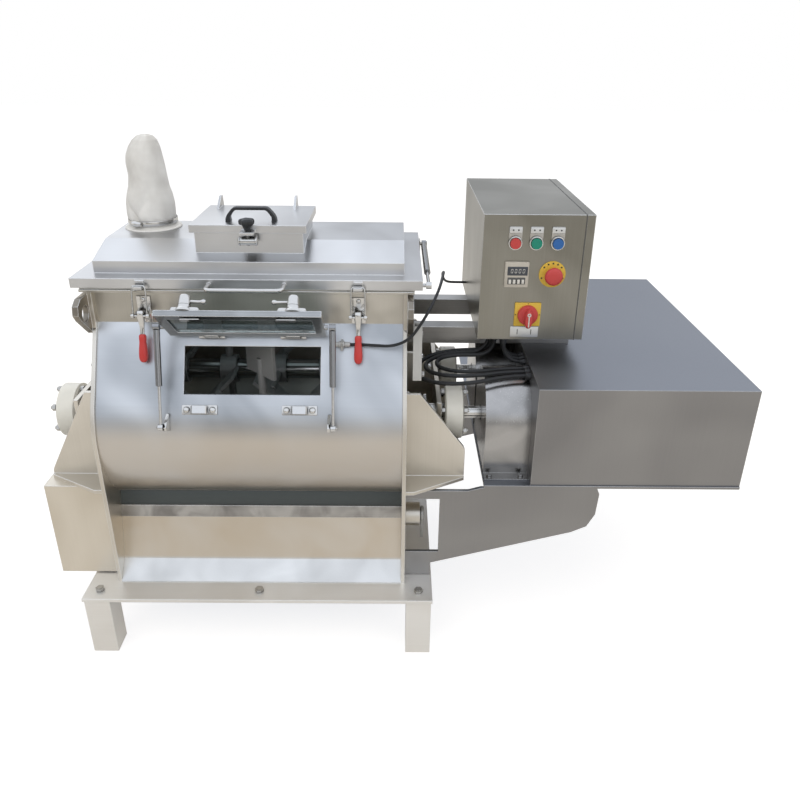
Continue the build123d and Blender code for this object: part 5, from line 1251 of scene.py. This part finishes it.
@dataclass
class ToggleLatches(Assembly):
    """Toggle latches of the lid: forged lever, wire loop and dipped red grip."""

    sides: tuple = ((-212.0, "left"), (222.0, "right"))
    pivot: tuple[float, float] = (-217.0, 753.0)
    crank: float = 12.0
    lean: tuple[float, float] = (-27.0, -95.0)
    hook: tuple[float, float] = (-217.0, 811.7)     # where the wire lies in the catch

    def build(self) -> None:
        """Builds both latches."""
        for x, side in self.sides:
            self.lever(x, side)
            self.grip(x, side)
            self.wire(x, side)

    def line(self, along: np.ndarray, off: np.ndarray | float, x: float) -> np.ndarray:
        """Points on the lever: so far along it, and so far in front of its middle line."""
        run = np.array(self.lean) / np.linalg.norm(self.lean)
        front = np.array([run[1], -run[0]])
        y = self.pivot[0] + along * run[0] + off * front[0]
        z = self.pivot[1] + along * run[1] + off * front[1]
        return np.stack([0 * along + x, y, z], axis=1)

    def lever(self, x: float, side: str) -> None:
        """Lever: broad over its two pins, then a thin neck into the grip."""
        along = np.array([-7.5, -7, -4, 0, 5, 10, 16, 22, 28, 36, 44, 50, 52, 52.3])
        off = np.array([6, 6, 6, 6, 5.6, 5.0, 4.0, 3.2, 2.8, 2.6, 2.5, 2.5, 2.5, 2.5])
        wide = np.array([1, 6.4, 7.4, 7.6, 7.6, 7.2, 6.0, 5.0, 4.4, 4.2, 4.2, 4.2, 3, 0.5])
        deep = np.array([1, 8.0, 9.5, 9.5, 8.4, 6.6, 4.6, 3.4, 2.8, 2.5, 2.5, 2.5, 2, 0.5])
        self.put(f"{side}_lever_plate", swept(self.line(along, off, x), wide, deep, power=0.5),
                 self.finishes.bright, f"{side}_toggle", f"{side}_latch_lever",
                 "polished_steel", smooth_deg=50)
        pin = [(0.0, -3.0), (4.0, -2.8), (4.6, -1.8), (4.6, 0.6), (2.3, 0.8), (2.3, 30.2),
               (4.6, 30.4), (4.6, 32.8), (4.0, 33.8), (0.0, 34.0)]
        self.put(f"{side}_lever_pin", turned(pin, (x - 15.5, self.pivot[0] - self.crank,
                                                   self.pivot[1]), (1, 0, 0), 20),
                 self.finishes.bright, f"{side}_toggle", slot="polished_steel")
        for n, edge in enumerate((-1, 1), 1):
            self.screw(f"{side}_base_bolt_{n}", (x + edge * 11.1, self.pivot[0], self.pivot[1]),
                       (edge, 0, 0), 4.2, 2.6)
        for n, rise in enumerate((-17, 24), 1):
            self.screw(f"{side}_base_screw_{n}", (x, -198.3, self.pivot[1] + rise), (0, -1, 0),
                       4.6, 2.6)

    def grip(self, x: float, side: str) -> None:
        """Dipped vinyl sleeve: a waist near its top and a round end."""
        along = np.array([40, 40.5, 42.4, 45, 50, 56, 63, 72, 81, 88, 93, 96, 97.4, 97.8])
        wide = np.array([1, 5.0, 6.6, 7.4, 7.2, 6.8, 7.6, 8.4, 8.8, 8.6, 7.4, 5.2, 3, 0.3])
        deep = np.array([1, 4.0, 5.4, 6.0, 5.8, 5.6, 6.0, 6.4, 6.6, 6.4, 5.4, 4.0, 2.2, 0.3])
        self.put(f"{side}_latch_grip", swept(self.line(along, 2.5 + 0 * along, x), wide, deep,
                                             power=0.7),
                 self.finishes.red, f"{side}_toggle", slot="red_plastic", smooth_deg=60)

    def wire(self, x: float, side: str) -> None:
        """Wire loop: an arch from the lever's pin up over the catch, with an eye at each foot."""
        foot = np.array([self.pivot[0] - self.crank, self.pivot[1]])
        top = np.array(self.hook)
        across, rise = arch(14.0, 1.0, 0.28, 81)
        path = np.stack([x + across, foot[0] + rise * (top - foot)[0],
                         foot[1] + rise * (top - foot)[1]], axis=1)
        up = (top - foot) / np.linalg.norm(top - foot)
        self.put(f"{side}_wire_loop", swept(path, 1.7, 1.7, (0, up[1], -up[0]), steps=14),
                 self.finishes.bright, f"{side}_loop", f"{side}_latch_loop", "polished_steel",
                 smooth_deg=70)
        eye = [(2.8, -2.0), (4.4, -2.0), (4.9, -1.2), (4.9, 1.2), (4.4, 2.0), (2.8, 2.0),
               (2.8, -2.0)]
        for n, edge in enumerate((-14.0, 14.0), 1):
            self.put(f"{side}_wire_eye_{n}", turned(eye, (x + edge, foot[0], foot[1]), (1, 0, 0),
                                                    24), self.finishes.bright, f"{side}_loop",
                     slot="polished_steel", capped=False)


@dataclass
class WindowFittings(Assembly):
    """Turning latches on the window door and the screws of its keepers."""

    hinge: tuple[float, float] = (-218.16, 706.89)
    wall_lean: float = 29.0
    opened: float = 100.0
    hinge_off: float = 10.0
    latch_at: float = 115.0
    keeper_at: float = 149.5

    def spot(self, x: float, along: float, off: float, opened: bool = True
             ) -> tuple[float, float, float]:
        """A point on the door: so far from its hinge and so far off the wall.

        Args:
            x: place along the hinge.
            along: distance from the hinge.
            off: distance off the wall.
            opened: on the open door, or on the wall as if it were shut.

        Returns:
            The point.
        """
        down, out = self.ways(opened)
        y = self.hinge[0] + along * down[1] + (off - self.hinge_off) * out[1]
        z = self.hinge[1] + along * down[2] + (off - self.hinge_off) * out[2]
        return (x, y, z)

    def ways(self, opened: bool = True) -> tuple[tuple, tuple]:
        """Directions down the door and out of it, on the open or the shut door."""
        lean = math.radians(self.wall_lean)
        turn = math.radians(-self.opened if opened else 0.0)
        c, s = math.cos(turn), math.sin(turn)
        down = (-math.sin(lean), -math.cos(lean))
        out = (-math.cos(lean), math.sin(lean))
        return ((0.0, down[0] * c - down[1] * s, down[0] * s + down[1] * c),
                (0.0, out[0] * c - out[1] * s, out[0] * s + out[1] * c))

    def build(self) -> None:
        """Builds both latches and the keepers' screws."""
        for x, way, side in ((-103.0, 1, "left"), (103.0, -1, "right")):
            self.latch(x, way, side)
        for n, x in enumerate((-100.0, 103.0), 1):
            self.keeper(n, x)

    def keeper(self, number: int, x: float) -> None:
        """Keeper on the wall: a plate with two screws and a bridge that stands off its middle."""
        down, out = self.ways(False)
        plate = plate_rings(self.spot(x, self.keeper_at, 0.2, False), 72, 20, 2.8, 2.5, 0.8,
                            (-1, 0, 0), down)
        self.put(f"keeper_plate_{number}", plate, self.finishes.bright, slot="polished_steel")
        # bridge: a strip that climbs off the plate, runs level and comes down again
        steps = np.array([-17, -16, -15, -14.4, -13, 13, 14.4, 15, 16, 17], dtype=float)
        rise = np.array([3.2, 3.6, 5.0, 9.0, 10.6, 10.6, 9.0, 5.0, 3.6, 3.2])
        line = np.array([self.spot(x + dx, self.keeper_at, off, False)
                         for dx, off in zip(steps, rise)])
        self.put(f"keeper_bridge_{number}", swept(line, 8.5, 1.3, down, 0.3),
                 self.finishes.chrome, slot="polished_steel")
        for k, dx in enumerate((-26.5, 26.5), 1):
            self.screw(f"keeper_screw_{number}_{k}",
                       self.spot(x + dx, self.keeper_at, 3.0, False), out, 6.4, 4.0)

    def latch(self, x: float, way: int, side: str) -> None:
        """One latch: flared base and boss on the door, and lever, spindle and tongue that turn.

        Args:
            x: place along the hinge.
            way: 1 where the lever points right, and -1 where it points left.
            side: left or right, for the names.
        """
        f = self.finishes
        down, out = self.ways()
        base = plate_rings(self.spot(x + way * 2, self.latch_at, 20.1), 58, 19, 9.0, 9.0, 6.0,
                           (-1, 0, 0), down)
        self.put(f"{side}_latch_base", base, f.bright, "window", slot="polished_steel")
        boss = [(8.2, 0.0), (17.0, 0.0), (16.0, 4.5), (14.0, 6.5), (12.8, 9.0), (12.2, 13.5),
                (8.2, 13.5), (8.2, 0.0)]
        self.put(f"{side}_latch_boss", turned(boss, self.spot(x, self.latch_at, 20.1), out, 40),
                 f.bright, "window", slot="polished_steel", capped=False)
        head = [(3.9, -17.0), (3.9, 13.8), (12.2, 13.9), (12.0, 17.0), (11.0, 26.0),
                (10.2, 31.0), (8.4, 33.6), (5.0, 34.6), (0.0, 34.8)]
        body = f"{side}_window_latch"
        self.put(f"{side}_latch_head", turned(head, self.spot(x, self.latch_at, 20.1), out, 40),
                 f.bright, body, f"window_latch_{side}", "polished_steel")
        lever = [(0.0, -2.0), (3.4, -1.8), (3.4, 0.0), (2.9, 22.0), (3.0, 31.0),
                 (4.2, 33.0), (5.0, 36.0), (4.4, 39.0), (2.6, 40.8), (0.0, 41.2)]
        self.put(f"{side}_latch_arm", turned(lever, self.spot(x, self.latch_at, 41.0),
                                             (way, 0, 0), 24), f.bright, body,
                 slot="polished_steel", smooth_deg=50)
        tongue = plate_rings(self.spot(x + way * 12.5, self.latch_at, 3.2), 39, 12, 3.0, 3.0, 0.5,
                             (-1, 0, 0), down)
        self.put(f"{side}_latch_tongue", tongue, f.bright, body, slot="polished_steel")


@dataclass
class Cables(Assembly):
    """Black cables: six between the drive cover and the control box, and the sensor's. Metres."""

    control: tuple = (
        ((0.5898, -0.150, 0.604), (0.545, -0.150, 0.604), (0.470, -0.176, 0.604),
         (0.400, -0.172, 0.602), (0.362, -0.130, 0.598), (0.368, -0.078, 0.597),
         (0.412, -0.044, 0.602), (0.458, -0.042, 0.6048), (0.480, -0.042, 0.6048),
         (0.499, -0.042, 0.6158), (0.510, -0.042, 0.6348), (0.510, -0.042, 0.6568)),
        ((0.5898, -0.132, 0.604), (0.545, -0.132, 0.604), (0.478, -0.152, 0.604),
         (0.424, -0.148, 0.602), (0.388, -0.118, 0.601), (0.392, -0.076, 0.602),
         (0.432, -0.058, 0.6048), (0.492, -0.060, 0.6048), (0.511, -0.060, 0.6158),
         (0.522, -0.060, 0.6348), (0.522, -0.060, 0.6568)),
        ((0.5898, -0.168, 0.602), (0.545, -0.168, 0.602), (0.470, -0.198, 0.598),
         (0.395, -0.194, 0.592), (0.346, -0.150, 0.588), (0.342, -0.090, 0.588),
         (0.372, -0.038, 0.594), (0.430, -0.025, 0.603), (0.496, -0.025, 0.6048),
         (0.515, -0.025, 0.6158), (0.526, -0.025, 0.6348), (0.526, -0.025, 0.6568)),
        ((0.5898, -0.084, 0.600), (0.568, -0.084, 0.600), (0.549, -0.084, 0.611),
         (0.538, -0.084, 0.630), (0.538, -0.084, 0.6568)),
        ((0.5898, -0.066, 0.600), (0.568, -0.066, 0.600), (0.549, -0.066, 0.611),
         (0.538, -0.066, 0.630), (0.538, -0.066, 0.6568)),
        ((0.5898, -0.048, 0.600), (0.568, -0.048, 0.600), (0.549, -0.048, 0.611),
         (0.538, -0.048, 0.630), (0.538, -0.048, 0.6568)),
    )
    sensor: tuple = (
        (0.2053, -0.225, 0.694), (0.224, -0.225, 0.694), (0.250, -0.228, 0.694),
        (0.292, -0.240, 0.696), (0.326, -0.251, 0.716), (0.348, -0.254, 0.750),
        (0.370, -0.240, 0.786), (0.386, -0.204, 0.812), (0.394, -0.146, 0.818),
        (0.400, -0.080, 0.806), (0.402, 0.0, 0.780), (0.408, 0.090, 0.746),
        (0.418, 0.170, 0.712), (0.432, 0.222, 0.692), (0.450, 0.234, 0.688),
        (0.4778, 0.234, 0.688),
    )

    def lay(self, name: str, node: str, points: tuple, diameter: float) -> None:
        """Builds one cable as a smooth spline through its route's control points.

        Args:
            name: the piece's name.
            node: the CAD cable that it stands for.
            points: the route.
            diameter: its thickness.
        """
        curve = bpy.data.curves.new(name, "CURVE")
        curve.dimensions = "3D"
        curve.bevel_depth = diameter / 2
        curve.bevel_resolution = 5
        curve.resolution_u = 8
        curve.use_fill_caps = True
        spline = curve.splines.new("NURBS")
        spline.points.add(len(points) - 1)
        spline.points.foreach_set("co", np.array([(*p, 1.0) for p in points]).ravel())
        spline.order_u = 3
        spline.use_endpoint_u = True
        curve.materials.append(self.finishes.cable)
        piece = bpy.data.objects.new(name, curve)
        bpy.context.scene.collection.objects.link(piece)
        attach(piece, BODY)
        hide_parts(node)
        log.info("%s laid", name)

    def build(self) -> None:
        """Lays every cable."""
        for n, points in enumerate(self.control, 1):
            self.lay(f"drive_cable_{n}", f"control_cable_{n}", points, 0.009)
        self.lay("sensor_lead", "sensor_cable", self.sensor, 0.006)


def main() -> None:
    """Builds the whole picture: camera, studio, finishes and the pieces."""
    logging.basicConfig(level=logging.INFO, format="%(message)s")
    PhotoCamera().build()
    Studio().build()
    finishes = Finishes()
    CadDress(finishes).build()
    TwoTone(finishes).build()
    SkirtStrips(finishes).build()
    BoxSeal(finishes).build()
    Cables(finishes).build()
    VentTop(finishes).build()
    HatchFittings(finishes).build()
    OperatorPanel(finishes).build()
    ToggleLatches(finishes).build()
    WindowFittings(finishes).build()


if __name__ == "__main__":
    main()
